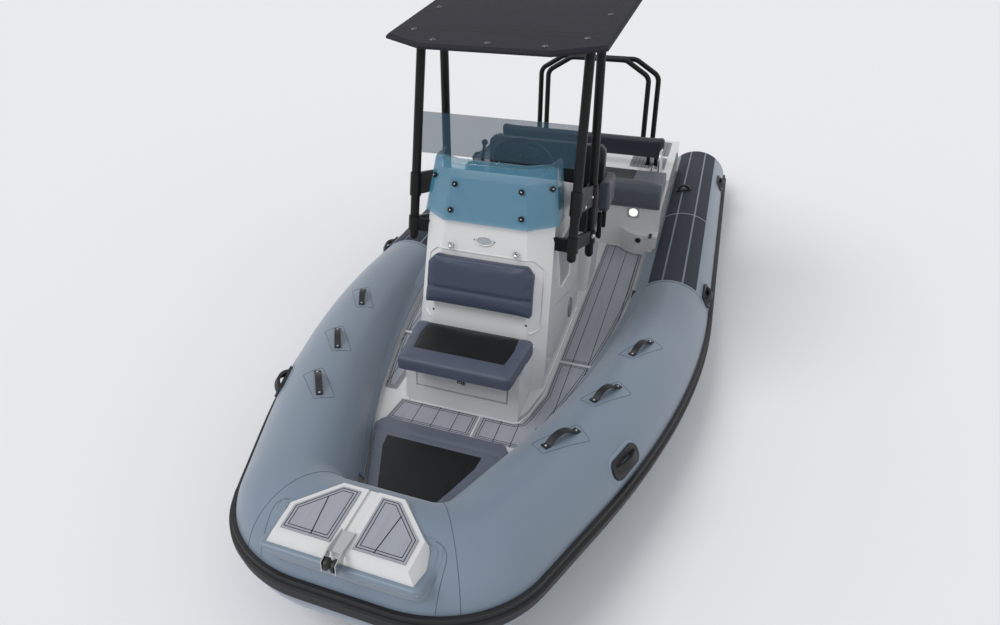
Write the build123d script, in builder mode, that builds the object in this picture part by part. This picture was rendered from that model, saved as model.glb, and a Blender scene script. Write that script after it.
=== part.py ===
"""Open rigid inflatable boat with a centre console, T-top and roll bar.

Units are millimetres. +X points to the bow, +Y to port and +Z up. The origin
lies on the centreline at the waterline, below the helm.
"""
from build123d import *
from math import atan, cos, degrees, radians, sin, tan
import os

os.makedirs("parts", exist_ok=True)

# ---- inflatable collar -------------------------------------------------------
TUBE_R = 250.0            # radius of the tubes
TUBE_Y = 925.0            # half the spacing of the parallel tubes
TUBE_Z = 180.0            # tube axis above the waterline, aft
COLLAR_AFT = -3480.0      # where the stern cones start
CONE_LENGTH = 360.0
CONE_TIP_R = 120.0
SHEER = 5.06              # rise of the forward collar, degrees
BEND_X = -790.0           # where the sheer starts
BEND_RUN = 30.0           # tangent length of the sheer bend
SIDE_RADIUS = 6150.0      # plan radius of the converging sides
SIDE_TURN = 19.2          # plan heading that the sides reach, degrees
CORNER_RADIUS = TUBE_R + 15   # plan radius of the bow corners
BOW_X = 1840.0            # axis of the transverse bow tube
SEAT_GAP = 0.3            # clearance of a seated piece
HULL_GAP = 0.6            # bond line between hull and collar

STRAKE_HEIGHT = 84.0
STRAKE_DEPTH = 26.0
STRAKE_RIDGE = 12.0

# ---- hull and sole -----------------------------------------------------------
DECK_Z = 300.0            # walking surface
SOLE_THICK = 20.0
TRANSOM_X = -3050.0
WELL_WIDTH = 760.0        # motor well
WELL_LENGTH = 420.0
WELL_FLOOR = 110.0
ENGINE_BOLTS = ((327.0, 365.0), (251.0, 162.0))   # spacing and height of each pair
ENGINE_BOLT_R = 6.5
TRANSOM_TOP = 420.0       # cut-out that carries the engine bracket
TRANSOM_THICK = 60.0
MAT_THICK = 5.0

# ---- console -----------------------------------------------------------------
SEAT_FRONT_X = 745.0      # face of the console's seat box
SEAT_BOX_HALF = 310.0
SEAT_BOX_TOP = 578.0
CONSOLE_REAR_X = -475.0
CONSOLE_HALF = 370.0
CONSOLE_TOP_HALF = 345.0
CONSOLE_SHOULDER_Z = 1200.0
HOOD_TOP_Z = 1425.0
DOOR_WIDTH = 492.0
DOOR_HEIGHT = 162.0
DOOR_BOTTOM = 404.0
DOOR_THICK = 18.0
DOOR_LEAN = 9.0
DOOR_GAP = 5.5
LOCKER_DEPTH = 330.0

# ---- T-top -------------------------------------------------------------------
LEG_D = 50.0
LEG_Y = 446.0
FRONT_LEG = ((256.0, 1040.0), (64.0, 2120.0))     # (x, z) of its foot and head
REAR_LEG = ((-310.0, 800.0), (-262.0, 2154.0))
ROOF_FRONT = (405.0, 2120.0)                      # (x, z) of the leading edge
ROOF_LENGTH = 1760.0
ROOF_THICK = 26.0
ROOF_SLOPE = 5.0

# ---- seats -------------------------------------------------------------------
BENCH_FRONT_X = -1500.0
BENCH_REAR_X = -2060.0
BENCH_TOP = 618.0
TOE_X = -1390.0
TOE_TOP = 452.0
COCKPIT_HALF = 760.0      # half width of the bench and the stern deck
HELM_FRONT_X = -700.0
HELM_REAR_X = -1085.0
HELM_HALF = 405.0
HELM_BASE_TOP = 742.0

# ---- roll bar ----------------------------------------------------------------
BAR_D = 44.0


def save(piece, name):
    """Label a finished piece and write its STEP file."""
    piece.part.label = name
    export_step(piece.part, "parts/" + name + ".step")


# ---- the collar's centreline -------------------------------------------------
# The parallel sides are level. A short vertical bend leads into a plane that
# rises at the sheer angle, and the sides and bow lie in that plane.
BOW_U = (BOW_X - BEND_X) / cos(radians(SHEER))
SIDE_CENTRE = (BEND_RUN, TUBE_Y - SIDE_RADIUS)
side_end_u = SIDE_CENTRE[0] + SIDE_RADIUS * sin(radians(SIDE_TURN))
side_end_v = SIDE_CENTRE[1] + SIDE_RADIUS * cos(radians(SIDE_TURN))
corner_u = BOW_U - CORNER_RADIUS
corner_v = (side_end_v - tan(radians(SIDE_TURN)) * (corner_u - side_end_u)
            - CORNER_RADIUS / cos(radians(SIDE_TURN)))
CORNER_CENTRE = (corner_u, corner_v)


def on_rise(u, v, up=0.0):
    """Point in the rising plane: u forward along it, v to port, up normal to it."""
    return (BEND_X + u * cos(radians(SHEER)) - up * sin(radians(SHEER)), v,
            TUBE_Z + u * sin(radians(SHEER)) + up * cos(radians(SHEER)))


def turned(centre, radius, angle):
    """Point of an arc in the rising plane, angle counted from port."""
    return on_rise(centre[0] + radius * sin(radians(angle)),
                   centre[1] + radius * cos(radians(angle)))


def sheer_bend(angle, side_y):
    """Point of the short vertical bend, angle counted from level."""
    radius = BEND_RUN / tan(radians(SHEER / 2))
    return (BEND_X - BEND_RUN + radius * sin(radians(angle)), side_y,
            TUBE_Z + radius * (1 - cos(radians(angle))))


def side_line(outward=0.0, first_x=COLLAR_AFT):
    """Port side from the stern to the bow corner, set off outward in plan."""
    side_y = TUBE_Y + outward
    with BuildLine() as line:
        Line((first_x, side_y, TUBE_Z), sheer_bend(0, side_y))
        ThreePointArc(sheer_bend(0, side_y), sheer_bend(SHEER / 2, side_y), sheer_bend(SHEER, side_y))
        ThreePointArc(sheer_bend(SHEER, side_y),
                      turned(SIDE_CENTRE, SIDE_RADIUS + outward, SIDE_TURN / 2),
                      turned(SIDE_CENTRE, SIDE_RADIUS + outward, SIDE_TURN))
        Line(turned(SIDE_CENTRE, SIDE_RADIUS + outward, SIDE_TURN),
             turned(CORNER_CENTRE, CORNER_RADIUS + outward, SIDE_TURN))
    return line.line


def bow_line(outward=0.0):
    """Port half of the bow, from the corner seam to the centreline."""
    radius = CORNER_RADIUS + outward
    with BuildLine() as line:
        ThreePointArc(turned(CORNER_CENTRE, radius, SIDE_TURN),
                      turned(CORNER_CENTRE, radius, (SIDE_TURN + 90) / 2),
                      turned(CORNER_CENTRE, radius, 90))
        Line(turned(CORNER_CENTRE, radius, 90), on_rise(BOW_U + outward, 0))
    return line.line


def start_plane(path):
    """Section plane at the start of a path, its Y axis upward."""
    along = path % 0
    across = Vector(0, 0, 1).cross(along)
    return Plane(origin=path @ 0, x_dir=across, z_dir=along)


def collar_half(radius, with_bow=True):
    """Port tube, and half of the bow if wanted, as one round solid of another radius."""
    paths = [side_line(0.0, COLLAR_AFT - CONE_LENGTH)]
    if with_bow:
        paths.append(bow_line())
    with BuildPart(mode=Mode.PRIVATE) as half:
        for path in paths:
            with BuildSketch(start_plane(path)):
                Circle(radius)
            sweep(path=path)
    return half.part


def cut_collar(radius, with_bow=True):
    """Cut the open piece back from both sides of the collar, grown to a radius."""
    half = collar_half(radius, with_bow)
    add(half, mode=Mode.SUBTRACT)
    add(mirror(half, Plane.XZ), mode=Mode.SUBTRACT)


def side_y(x):
    """Where the port tube's axis stands in plan at a distance forward."""
    u = (x - BEND_X) / cos(radians(SHEER))
    if u <= BEND_RUN:
        return TUBE_Y
    if u <= side_end_u:
        return SIDE_CENTRE[1] + (SIDE_RADIUS ** 2 - (u - BEND_RUN) ** 2) ** 0.5
    return side_end_v - tan(radians(SIDE_TURN)) * (u - side_end_u)


def inboard(first_x, last_x, steps=8):
    """Plan points of the port tube's axis between two distances forward."""
    stations = [first_x + (last_x - first_x) * k / steps for k in range(steps + 1)]
    return [(x, side_y(x)) for x in stations]


# ---- tubes -------------------------------------------------------------------
with BuildPart() as tube_port:
    with BuildSketch(start_plane(side_line())):
        Circle(TUBE_R)
    sweep(path=side_line())
    with Locations(Location((COLLAR_AFT - CONE_LENGTH / 2, TUBE_Y, TUBE_Z), (0, -90, 0))):
        Cone(TUBE_R, CONE_TIP_R, CONE_LENGTH)
    fillet(tube_port.edges().group_by(Axis.X)[0], CONE_TIP_R * 0.55)
save(tube_port, "tube_port")

with BuildPart() as tube_starboard:
    add(mirror(tube_port.part, Plane.XZ))
save(tube_starboard, "tube_starboard")

with BuildPart() as tube_bow:
    with BuildSketch(start_plane(bow_line())):
        Circle(TUBE_R)
    sweep(path=bow_line())
    mirror(about=Plane.XZ)
save(tube_bow, "tube_bow")

# ---- rubbing strake ----------------------------------------------------------
with BuildPart() as rubbing_strake:
    for path in (side_line(TUBE_R + HULL_GAP), bow_line(TUBE_R + HULL_GAP)):
        with BuildSketch(start_plane(path)):
            with BuildLine():
                half = STRAKE_HEIGHT / 2
                step = STRAKE_RIDGE
                Polyline((-2, -half), (0, -half), (STRAKE_DEPTH - step, -half), (STRAKE_DEPTH - step, -step),
                         (STRAKE_DEPTH, -step + 4), (STRAKE_DEPTH, step - 4), (STRAKE_DEPTH - step, step),
                         (STRAKE_DEPTH - step, half), (-2, half), (-2, -half))
            make_face()
        sweep(path=path)
    add(collar_half(TUBE_R + HULL_GAP), mode=Mode.SUBTRACT)
    mirror(about=Plane.XZ)
save(rubbing_strake, "rubbing_strake")

# ---- anti-slip pads ----------------------------------------------------------
# Three columns on each tube, as (first, last) degrees from the crown, + outboard
PAD_COLUMNS = ((-37.0, -16.5), (-13.5, 13.0), (16.0, 37.0))
# and two rows, as (aft, forward) x, with the rounded front of the forward row
PAD_ROWS = ((COLLAR_AFT + 5, -1966.0), (-1938.0, BEND_X - BEND_RUN - 2))
PAD_THICK = 3.0


def pad_sector(first, last):
    """Sketch a curved strip of pad on the tube between two crown angles."""
    inner = TUBE_R + SEAT_GAP
    outer = inner + PAD_THICK
    points = []
    for radius in (inner, outer):
        for angle in (first, (first + last) / 2, last):
            points.append((radius * sin(radians(angle)), radius * cos(radians(angle))))
    with BuildLine() as outline:
        ThreePointArc(points[0], points[1], points[2])
        Line(points[2], points[5])
        ThreePointArc(points[5], points[4], points[3])
        Line(points[3], points[0])
    make_face(outline.edges())


with BuildPart() as antislip_port:
    for aft, forward in PAD_ROWS:
        with BuildSketch(Plane(origin=(aft, TUBE_Y, TUBE_Z), x_dir=(0, 1, 0), z_dir=(1, 0, 0))):
            for first, last in PAD_COLUMNS:
                pad_sector(first, last)
        extrude(amount=forward - aft)
save(antislip_port, "antislip_port")

with BuildPart() as antislip_starboard:
    add(mirror(antislip_port.part, Plane.XZ))
save(antislip_starboard, "antislip_starboard")

# ---- handles on the collar ---------------------------------------------------
# Strap handles on the crown, by their distance u along the rise
STRAP_HANDLES = (2055.0, 1560.0, 1003.0)
STRAP_LENGTH = 215.0
STRAP_WIDTH = 34.0
STRAP_THICK = 6.0
STRAP_RISE = 34.0
STRAP_YAW = 14.0          # the fore end leans inboard of the tube's heading
STRAP_INBOARD = 2.0       # roll of the handles toward the cockpit, degrees


def crown_frame(u, roll=0.0):
    """Plane on the tube's skin above the rise, x forward along the tube.

    The roll tips the plane's normal outboard about the tube's own axis.
    """
    heading = degrees(atan((u - BEND_RUN) / SIDE_RADIUS)) if u > BEND_RUN else 0.0
    heading = min(heading, SIDE_TURN)
    if heading < SIDE_TURN:
        v = SIDE_CENTRE[1] + SIDE_RADIUS * cos(radians(heading))
        u = SIDE_CENTRE[0] + SIDE_RADIUS * sin(radians(heading))
    else:
        v = side_end_v - tan(radians(SIDE_TURN)) * (u - side_end_u)
    ahead = Vector(*on_rise(cos(radians(heading)), -sin(radians(heading)))) - Vector(*on_rise(0, 0))
    up = Vector(-sin(radians(SHEER)), 0, cos(radians(SHEER)))
    plane = Plane(origin=on_rise(u, v), x_dir=ahead, z_dir=up)
    plane = plane.rotated((-roll, 0, 0))
    return plane.offset(TUBE_R)


def arch_profile(length, rise, thick):
    """Sketch a flat-footed arch of even thickness, standing on the x axis."""
    foot = 26.0
    half_span = length / 2 - foot
    with BuildLine() as outline:
        Line((-length / 2, 0), (-half_span, 0))
        ThreePointArc((-half_span, 0), (0, rise), (half_span, 0))
        Line((half_span, 0), (length / 2, 0))
        Line((length / 2, 0), (length / 2, thick))
        Line((length / 2, thick), (half_span, thick))
        ThreePointArc((half_span, thick), (0, rise + thick), (-half_span, thick))
        Line((-half_span, thick), (-length / 2, thick))
        Line((-length / 2, thick), (-length / 2, 0))
    make_face(outline.edges())


with BuildPart() as strap_handles_port:
    for u in STRAP_HANDLES:
        seat = crown_frame(u, -STRAP_INBOARD).rotated((0, 0, -STRAP_YAW)).offset(SEAT_GAP)
        with BuildSketch(Plane(origin=seat.origin, x_dir=seat.x_dir, z_dir=-seat.y_dir)):
            arch_profile(STRAP_LENGTH, STRAP_RISE, STRAP_THICK)
        extrude(amount=STRAP_WIDTH / 2, both=True)
    add(collar_half(TUBE_R + SEAT_GAP), mode=Mode.SUBTRACT)
save(strap_handles_port, "strap_handles_port")

with BuildPart() as strap_handles_starboard:
    add(mirror(strap_handles_port.part, Plane.XZ))
save(strap_handles_starboard, "strap_handles_starboard")

# Moulded grab handles on the outer side: x and z of their middle on the aft
# tube, or None for the pair that sits on the rise, then their pitch.
SIDE_HANDLE_X = (-3020.0, -905.0)
SIDE_HANDLE_U = 1851.0
SIDE_HANDLE_ANGLE = 60.0
SIDE_HANDLE_LENGTH = 240.0
SIDE_HANDLE_WIDTH = 92.0
SIDE_HANDLE_THICK = 12.0
SIDE_HANDLE_RISE = 46.0


def handle_frame(x):
    """Plane on the outer side of the parallel tube, x forward."""
    angle = radians(SIDE_HANDLE_ANGLE)
    normal = (0, sin(angle), cos(angle))
    reach = TUBE_R + SEAT_GAP
    return Plane(origin=(x, TUBE_Y + reach * normal[1], TUBE_Z + reach * normal[2]), x_dir=(1, 0, 0),
                 z_dir=normal)


def side_handle_planes():
    """Seats of the three moulded handles of the port side."""
    fore = crown_frame(SIDE_HANDLE_U).offset(-TUBE_R)
    fore = Plane(fore.origin, x_dir=fore.x_dir, z_dir=fore.z_dir)
    angle = radians(SIDE_HANDLE_ANGLE)
    normal = fore.z_dir * cos(angle) + fore.y_dir * sin(angle)
    fore = Plane(fore.origin + normal * (TUBE_R + SEAT_GAP), x_dir=fore.x_dir, z_dir=normal)
    return [handle_frame(x) for x in SIDE_HANDLE_X] + [fore]


with BuildPart() as side_handles_port:
    for seat in side_handle_planes():
        with BuildSketch(seat):
            SlotOverall(SIDE_HANDLE_LENGTH, SIDE_HANDLE_WIDTH)
            SlotOverall(SIDE_HANDLE_LENGTH - 60, SIDE_HANDLE_WIDTH - 60, mode=Mode.SUBTRACT)
        extrude(amount=SIDE_HANDLE_THICK)
        with BuildSketch(Plane(seat.origin, x_dir=seat.x_dir, z_dir=-seat.y_dir).offset(-16)):
            with BuildLine() as grip:
                span = SIDE_HANDLE_LENGTH / 2 - 16
                top = SIDE_HANDLE_RISE
                Line((-span, 2), (-span + 34, 2))
                ThreePointArc((-span + 34, 2), (0, top - 16), (span - 34, 2))
                Line((span - 34, 2), (span, 2))
                ThreePointArc((span, 2), (0, top), (-span, 2))
            make_face()
        extrude(amount=32)
    add(collar_half(TUBE_R + SEAT_GAP), mode=Mode.SUBTRACT)
save(side_handles_port, "side_handles_port")

with BuildPart() as side_handles_starboard:
    add(mirror(side_handles_port.part, Plane.XZ))
save(side_handles_starboard, "side_handles_starboard")

# Mooring handles on the aft pads: a low bar on two feet across the tube
MOORING_X = -2450.0
MOORING_ANGLE = -12.7
MOORING_LENGTH = 128.0
MOORING_WIDTH = 54.0
MOORING_THICK = 11.0
MOORING_SAG = 7.0         # how far the foot follows the tube down
with BuildPart() as mooring_handles:
    tilt = radians(MOORING_ANGLE)
    reach = TUBE_R + SEAT_GAP * 2 + PAD_THICK
    seat = Plane(origin=(MOORING_X, TUBE_Y + reach * sin(tilt), TUBE_Z + reach * cos(tilt)),
                 x_dir=(0, cos(tilt), -sin(tilt)), z_dir=(0, sin(tilt), cos(tilt)))
    with BuildSketch(seat.offset(-MOORING_SAG)):
        SlotOverall(MOORING_LENGTH, MOORING_WIDTH)
    extrude(amount=MOORING_SAG + MOORING_THICK)
    with BuildSketch(Plane(seat.origin, x_dir=seat.x_dir, z_dir=-seat.y_dir)):
        with BuildLine():
            Line((-52, 11), (-30, 11))
            ThreePointArc((-30, 11), (0, 34), (30, 11))
            Line((30, 11), (52, 11))
            ThreePointArc((52, 11), (0, 50), (-52, 11))
        make_face()
    extrude(amount=13, both=True)
    with Locations(Location((MOORING_X, TUBE_Y, TUBE_Z), (0, 90, 0))):
        Cylinder(reach, 2 * MOORING_WIDTH, mode=Mode.SUBTRACT)
    mirror(about=Plane.XZ)
save(mooring_handles, "mooring_handles")

# ---- hull --------------------------------------------------------------------
# x, half width and height of keel, chine and gunwale of each section
HULL_SECTIONS = (
    (TRANSOM_X, 24.0, -350.0, 850.0, -52.0),
    (-1500.0, 24.0, -352.0, 850.0, -52.0),
    (-500.0, 24.0, -345.0, 846.0, -44.0),
    (500.0, 24.0, -300.0, 745.0, 16.0),
    (1150.0, 24.0, -200.0, 628.0, 92.0),
    (1600.0, 24.0, -60.0, 495.0, 150.0),
    (1930.0, 60.0, 120.0, 365.0, 214.0),
)
GUNWALE_SPREAD = 30.0     # flare of the hull side above the chine
SOLE_BOTTOM = DECK_Z - SOLE_THICK

with BuildPart() as hull:
    for x, keel_y, keel_z, chine_y, chine_z in HULL_SECTIONS:
        with BuildSketch(Plane(origin=(x, 0, 0), x_dir=(0, 1, 0), z_dir=(1, 0, 0))):
            top_y = chine_y + GUNWALE_SPREAD
            Polygon((-keel_y, keel_z), (keel_y, keel_z), (chine_y, chine_z), (top_y, SOLE_BOTTOM),
                    (-top_y, SOLE_BOTTOM), (-chine_y, chine_z), align=None)
    loft(ruled=True)
    with Locations((TRANSOM_X + TRANSOM_THICK / 2, 0, (SOLE_BOTTOM + TRANSOM_TOP) / 2)):
        Box(TRANSOM_THICK, WELL_WIDTH, TRANSOM_TOP - SOLE_BOTTOM)
    cut_collar(TUBE_R + HULL_GAP)
    with Locations((TRANSOM_X + TRANSOM_THICK + WELL_LENGTH / 2, 0, (WELL_FLOOR + TRANSOM_TOP) / 2)):
        Box(WELL_LENGTH, WELL_WIDTH, TRANSOM_TOP - WELL_FLOOR, mode=Mode.SUBTRACT)
    with BuildSketch(Plane(origin=(TRANSOM_X, 0, 0), x_dir=(0, 1, 0), z_dir=(1, 0, 0))):
        for spacing, height in ENGINE_BOLTS:
            with Locations((spacing / 2, height), (-spacing / 2, height)):
                Circle(ENGINE_BOLT_R)
    extrude(amount=TRANSOM_THICK, mode=Mode.SUBTRACT)
save(hull, "hull")

# ---- sole and inner moulding -------------------------------------------------
CURB_WIDTH = 22.0
CURB_HEIGHT = 42.0
CURB_FRONT_X = 1400.0
SOLE_FRONT_X = 1700.0
with BuildPart(mode=Mode.PRIVATE) as port_curb:
    with BuildSketch(Plane.XY.offset(DECK_Z)):
        Polygon((BENCH_FRONT_X, 0), *inboard(BENCH_FRONT_X, CURB_FRONT_X), (CURB_FRONT_X, 0), align=None)
    extrude(amount=CURB_HEIGHT)
    add(collar_half(TUBE_R + CURB_WIDTH, with_bow=False), mode=Mode.INTERSECT)

with BuildPart() as deck_liner:
    with BuildSketch(Plane.XY.offset(SOLE_BOTTOM + SEAT_GAP)):
        sole_aft = TRANSOM_X + TRANSOM_THICK + WELL_LENGTH + 10
        Polygon((sole_aft, 0), *inboard(sole_aft, SOLE_FRONT_X), (SOLE_FRONT_X, 0), align=None)
        mirror(about=Plane.XZ)
    extrude(amount=SOLE_THICK - SEAT_GAP)
    add(port_curb.part)
    add(mirror(port_curb.part, Plane.XZ))
    cut_collar(TUBE_R + HULL_GAP)
save(deck_liner, "deck_liner")

# ---- sole mats ---------------------------------------------------------------
MAT_MARGIN = 8.0          # from a mat's edge to the curb
MAT_GAP = 22.0            # white strip between mats
MAT_INNER = CONSOLE_HALF + 24.0
MAT_AFT_X = BENCH_FRONT_X + 30
BOX_MARGIN = 14.0         # from the seat box to the mats
MAT_SPLIT_X = 150.0
MAT_FRONT_X = 930.0
FRONT_SPLIT_Y = 104.0
# corners of each mat in plan, before the collar trims its outer side
aft_end = MAT_SPLIT_X - MAT_GAP
PORT_AFT = ((aft_end, MAT_INNER), *reversed(inboard(TOE_X + 20, aft_end)), (TOE_X + 12, 640), (TOE_X + 10, 606),
            (TOE_X - 20, 548), (TOE_X - 60, 508), (MAT_AFT_X, 478), (MAT_AFT_X, MAT_INNER))
STARBOARD_AFT = tuple((x, -y) for x, y in PORT_AFT)
box_front = SEAT_FRONT_X + BOX_MARGIN
PORT_FORE = ((MAT_SPLIT_X, MAT_INNER), (480, MAT_INNER), (SEAT_FRONT_X - 60, SEAT_BOX_HALF + 40),
             (SEAT_FRONT_X - 8, SEAT_BOX_HALF + 22), (box_front, SEAT_BOX_HALF - 16),
             (box_front, FRONT_SPLIT_Y + MAT_GAP), (MAT_FRONT_X, FRONT_SPLIT_Y + MAT_GAP),
             *reversed(inboard(MAT_SPLIT_X, MAT_FRONT_X)))
STARBOARD_FORE = ((box_front, FRONT_SPLIT_Y), (MAT_FRONT_X, FRONT_SPLIT_Y), (MAT_FRONT_X, -350),
                  (box_front, -330))
STARBOARD_SIDE = ((MAT_SPLIT_X, -MAT_INNER), (690, -MAT_INNER), *[(x, -y) for x, y in reversed(
    inboard(MAT_SPLIT_X, 690))])

with BuildPart() as deck_mats:
    with BuildSketch(Plane.XY.offset(DECK_Z)):
        for corners in (PORT_AFT, STARBOARD_AFT, PORT_FORE, STARBOARD_FORE, STARBOARD_SIDE):
            Polygon(*corners, align=None)
    extrude(amount=MAT_THICK)
    cut_collar(TUBE_R + CURB_WIDTH + MAT_MARGIN, with_bow=False)
save(deck_mats, "deck_mats")

# ---- bow step ----------------------------------------------------------------
STEP_TOP_Z = 676.0
STEP_FOOT_Z = 596.0
STEP_CHANNEL = 44.0
# (x, half width) of the top face, stern to bow, and of the skirt's foot
STEP_TOP = ((1766.0, 132.0), (1928.0, 280.0), (2072.0, 274.0))
STEP_FOOT = ((1722.0, 150.0), (1912.0, 322.0), (2094.0, 314.0))
STEP_SADDLE = 0.6


def mirrored(points):
    """Close a half outline, given as (x, y) with y to port, about the centreline."""
    return list(points) + [(x, -y) for x, y in reversed(points)]


with BuildPart() as bow_step:
    for height, outline in ((STEP_FOOT_Z, STEP_FOOT), (STEP_TOP_Z, STEP_TOP)):
        with BuildSketch(Plane.XY.offset(height)):
            Polygon(*mirrored(outline), align=None)
    loft(ruled=True)
    with Locations(((STEP_TOP[0][0] + STEP_TOP[-1][0]) / 2, 0, STEP_TOP_Z)):
        Box(2 * (STEP_TOP[-1][0] - STEP_TOP[0][0]), STEP_CHANNEL, 20, mode=Mode.SUBTRACT)
    cut_collar(TUBE_R + STEP_SADDLE)
save(bow_step, "bow_step")

STEP_MAT_MARGIN = 22.0
STEP_MAT_GAP = 92.0       # between the two mats
with BuildPart() as bow_step_mats:
    with BuildSketch(Plane.XY.offset(STEP_TOP_Z)):
        Polygon(*mirrored(STEP_TOP), align=None)
        offset(amount=-STEP_MAT_MARGIN, kind=Kind.INTERSECTION)
        with Locations((STEP_TOP[0][0], 0)):
            Rectangle(2 * STEP_TOP[0][0], STEP_MAT_GAP, mode=Mode.SUBTRACT)
    extrude(amount=MAT_THICK)
save(bow_step_mats, "bow_step_mats")

# ---- anchor roller -----------------------------------------------------------
ROLLER_X = 2128.0
ROLLER_Z = STEP_TOP_Z - 12
ROLLER_R = 23.0
ROLLER_WIDTH = 42.0
ROLLER_PIN_R = 5.0
CHEEK_GAP = 5.5
CHEEK_THICK = 4.0
with BuildPart() as anchor_bracket:
    cheek_y = ROLLER_WIDTH / 2 + CHEEK_GAP
    bracket_z = STEP_TOP_Z + SEAT_GAP
    with BuildSketch(Plane.XZ.offset(-cheek_y - CHEEK_THICK)):
        Polygon((1985, bracket_z), (1985, bracket_z + 10), (2085, bracket_z + 24), (ROLLER_X + 20, ROLLER_Z + 24),
                (ROLLER_X + 20, ROLLER_Z - 22), (ROLLER_X - 28, ROLLER_Z - 22), (ROLLER_X - 48, bracket_z), align=None)
    extrude(amount=CHEEK_THICK)
    mirror(about=Plane.XZ)
    with Locations((2035, 0, bracket_z + 2)):
        Box(100, 2 * cheek_y + 2, 4)
    with BuildSketch(Plane.XZ):
        with Locations((ROLLER_X, ROLLER_Z)):
            Circle(ROLLER_PIN_R)
    extrude(amount=cheek_y + CHEEK_THICK, both=True)
save(anchor_bracket, "anchor_bracket")

with BuildPart() as anchor_roller:
    with BuildSketch(Plane.XZ):
        with Locations((ROLLER_X, ROLLER_Z)):
            Circle(ROLLER_R)
            Circle(ROLLER_PIN_R + 0.05, mode=Mode.SUBTRACT)
    extrude(amount=ROLLER_WIDTH / 2, both=True)
    with BuildSketch(Plane.XY.offset(ROLLER_Z)):
        with Locations((ROLLER_X + ROLLER_R, 0)):
            Polygon((-9, 0), (1, -12), (1, 12), align=None)
    revolve(axis=Axis((ROLLER_X, 0, ROLLER_Z), (0, 1, 0)), mode=Mode.SUBTRACT)
save(anchor_roller, "anchor_roller")

# ---- bow cushion -------------------------------------------------------------
BOW_CUSHION_THICK = 76.0
BOW_CUSHION = ((985.0, 325.0), (1090.0, 388.0), (1250.0, 378.0), (1460.0, 300.0), (1556.0, 215.0))
with BuildPart() as bow_cushion:
    with BuildSketch(Plane.XY.offset(DECK_Z + SEAT_GAP)):
        Polygon(*mirrored(BOW_CUSHION), align=None)
    extrude(amount=BOW_CUSHION_THICK)
    cut_collar(TUBE_R + CURB_WIDTH + 4, with_bow=False)
    cut_collar(TUBE_R + SEAT_GAP * 4)
save(bow_cushion, "bow_cushion")

# ---- console -----------------------------------------------------------------
# height, front x and half width, corner x, side half width, rear x
CONSOLE_SECTIONS = (
    (DECK_Z, 530.0, 290.0, 440.0, CONSOLE_HALF, CONSOLE_REAR_X),
    (CONSOLE_SHOULDER_Z, 335.0, 225.0, 240.0, CONSOLE_TOP_HALF + 7, -390.0),
    (HOOD_TOP_Z, 273.0, 200.0, 192.0, CONSOLE_TOP_HALF - 21, 150.0),
)
SEAT_BOX_RAKE = 16.0
CAVITY_HALF = DOOR_WIDTH / 2 - 12
CAVITY_Z = (DOOR_BOTTOM + 6, DOOR_BOTTOM + DOOR_HEIGHT - 6)
HINGE_R = 4.0
HINGE_SLACK = 0.05


def console_outline(front_x, front_half, corner_x, side_half, rear_x):
    """Plan outline of the console at one height."""
    return mirrored(((front_x, front_half), (corner_x, side_half), (rear_x, side_half)))


door_front_x = SEAT_FRONT_X - SEAT_BOX_RAKE * (DOOR_BOTTOM - DECK_Z) / (SEAT_BOX_TOP - DECK_Z)
HINGE_X = door_front_x - DOOR_THICK / 2
HINGE_Z = DOOR_BOTTOM + DOOR_THICK / 2

with BuildPart() as console:
    for height, *sizes in CONSOLE_SECTIONS:
        with BuildSketch(Plane.XY.offset(height)):
            Polygon(*console_outline(*sizes), align=None)
    loft(ruled=True)
    with BuildSketch(Plane.XZ.offset(-SEAT_BOX_HALF)):
        Polygon((300, DECK_Z), (SEAT_FRONT_X, DECK_Z), (SEAT_FRONT_X - SEAT_BOX_RAKE, SEAT_BOX_TOP),
                (300, SEAT_BOX_TOP), align=None)
    extrude(amount=2 * SEAT_BOX_HALF)
    # doorway and locker space
    with Locations((SEAT_FRONT_X, 0, DOOR_BOTTOM + DOOR_HEIGHT / 2)):
        Box(2 * (SEAT_FRONT_X - door_front_x + DOOR_THICK + DOOR_LEAN + DOOR_GAP), DOOR_WIDTH + 2 * DOOR_GAP,
            DOOR_HEIGHT + 2 * DOOR_GAP, mode=Mode.SUBTRACT)
    with Locations((SEAT_FRONT_X - LOCKER_DEPTH / 2, 0, sum(CAVITY_Z) / 2)):
        Box(LOCKER_DEPTH, 2 * CAVITY_HALF, CAVITY_Z[1] - CAVITY_Z[0], mode=Mode.SUBTRACT)
    with BuildSketch(Plane.XZ):
        with Locations((HINGE_X, HINGE_Z)):
            Circle(HINGE_R + HINGE_SLACK)
    extrude(amount=DOOR_WIDTH / 2 + DOOR_GAP + 12, both=True, mode=Mode.SUBTRACT)
save(console, "console")

with BuildPart() as locker_door:
    with BuildSketch(Plane.XZ):
        with Locations((HINGE_X, HINGE_Z)):
            Circle(DOOR_THICK / 2)
        Polygon((HINGE_X - DOOR_THICK / 2, HINGE_Z), (HINGE_X + DOOR_THICK / 2, HINGE_Z),
                (HINGE_X + DOOR_THICK / 2 - DOOR_LEAN, DOOR_BOTTOM + DOOR_HEIGHT),
                (HINGE_X - DOOR_THICK / 2 - DOOR_LEAN, DOOR_BOTTOM + DOOR_HEIGHT), align=None)
    extrude(amount=DOOR_WIDTH / 2, both=True)
    with BuildSketch(Plane.XZ):
        with Locations((HINGE_X, HINGE_Z)):
            Circle(HINGE_R)
    extrude(amount=DOOR_WIDTH / 2 + DOOR_GAP + 10, both=True)
save(locker_door, "locker_door")

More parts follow.
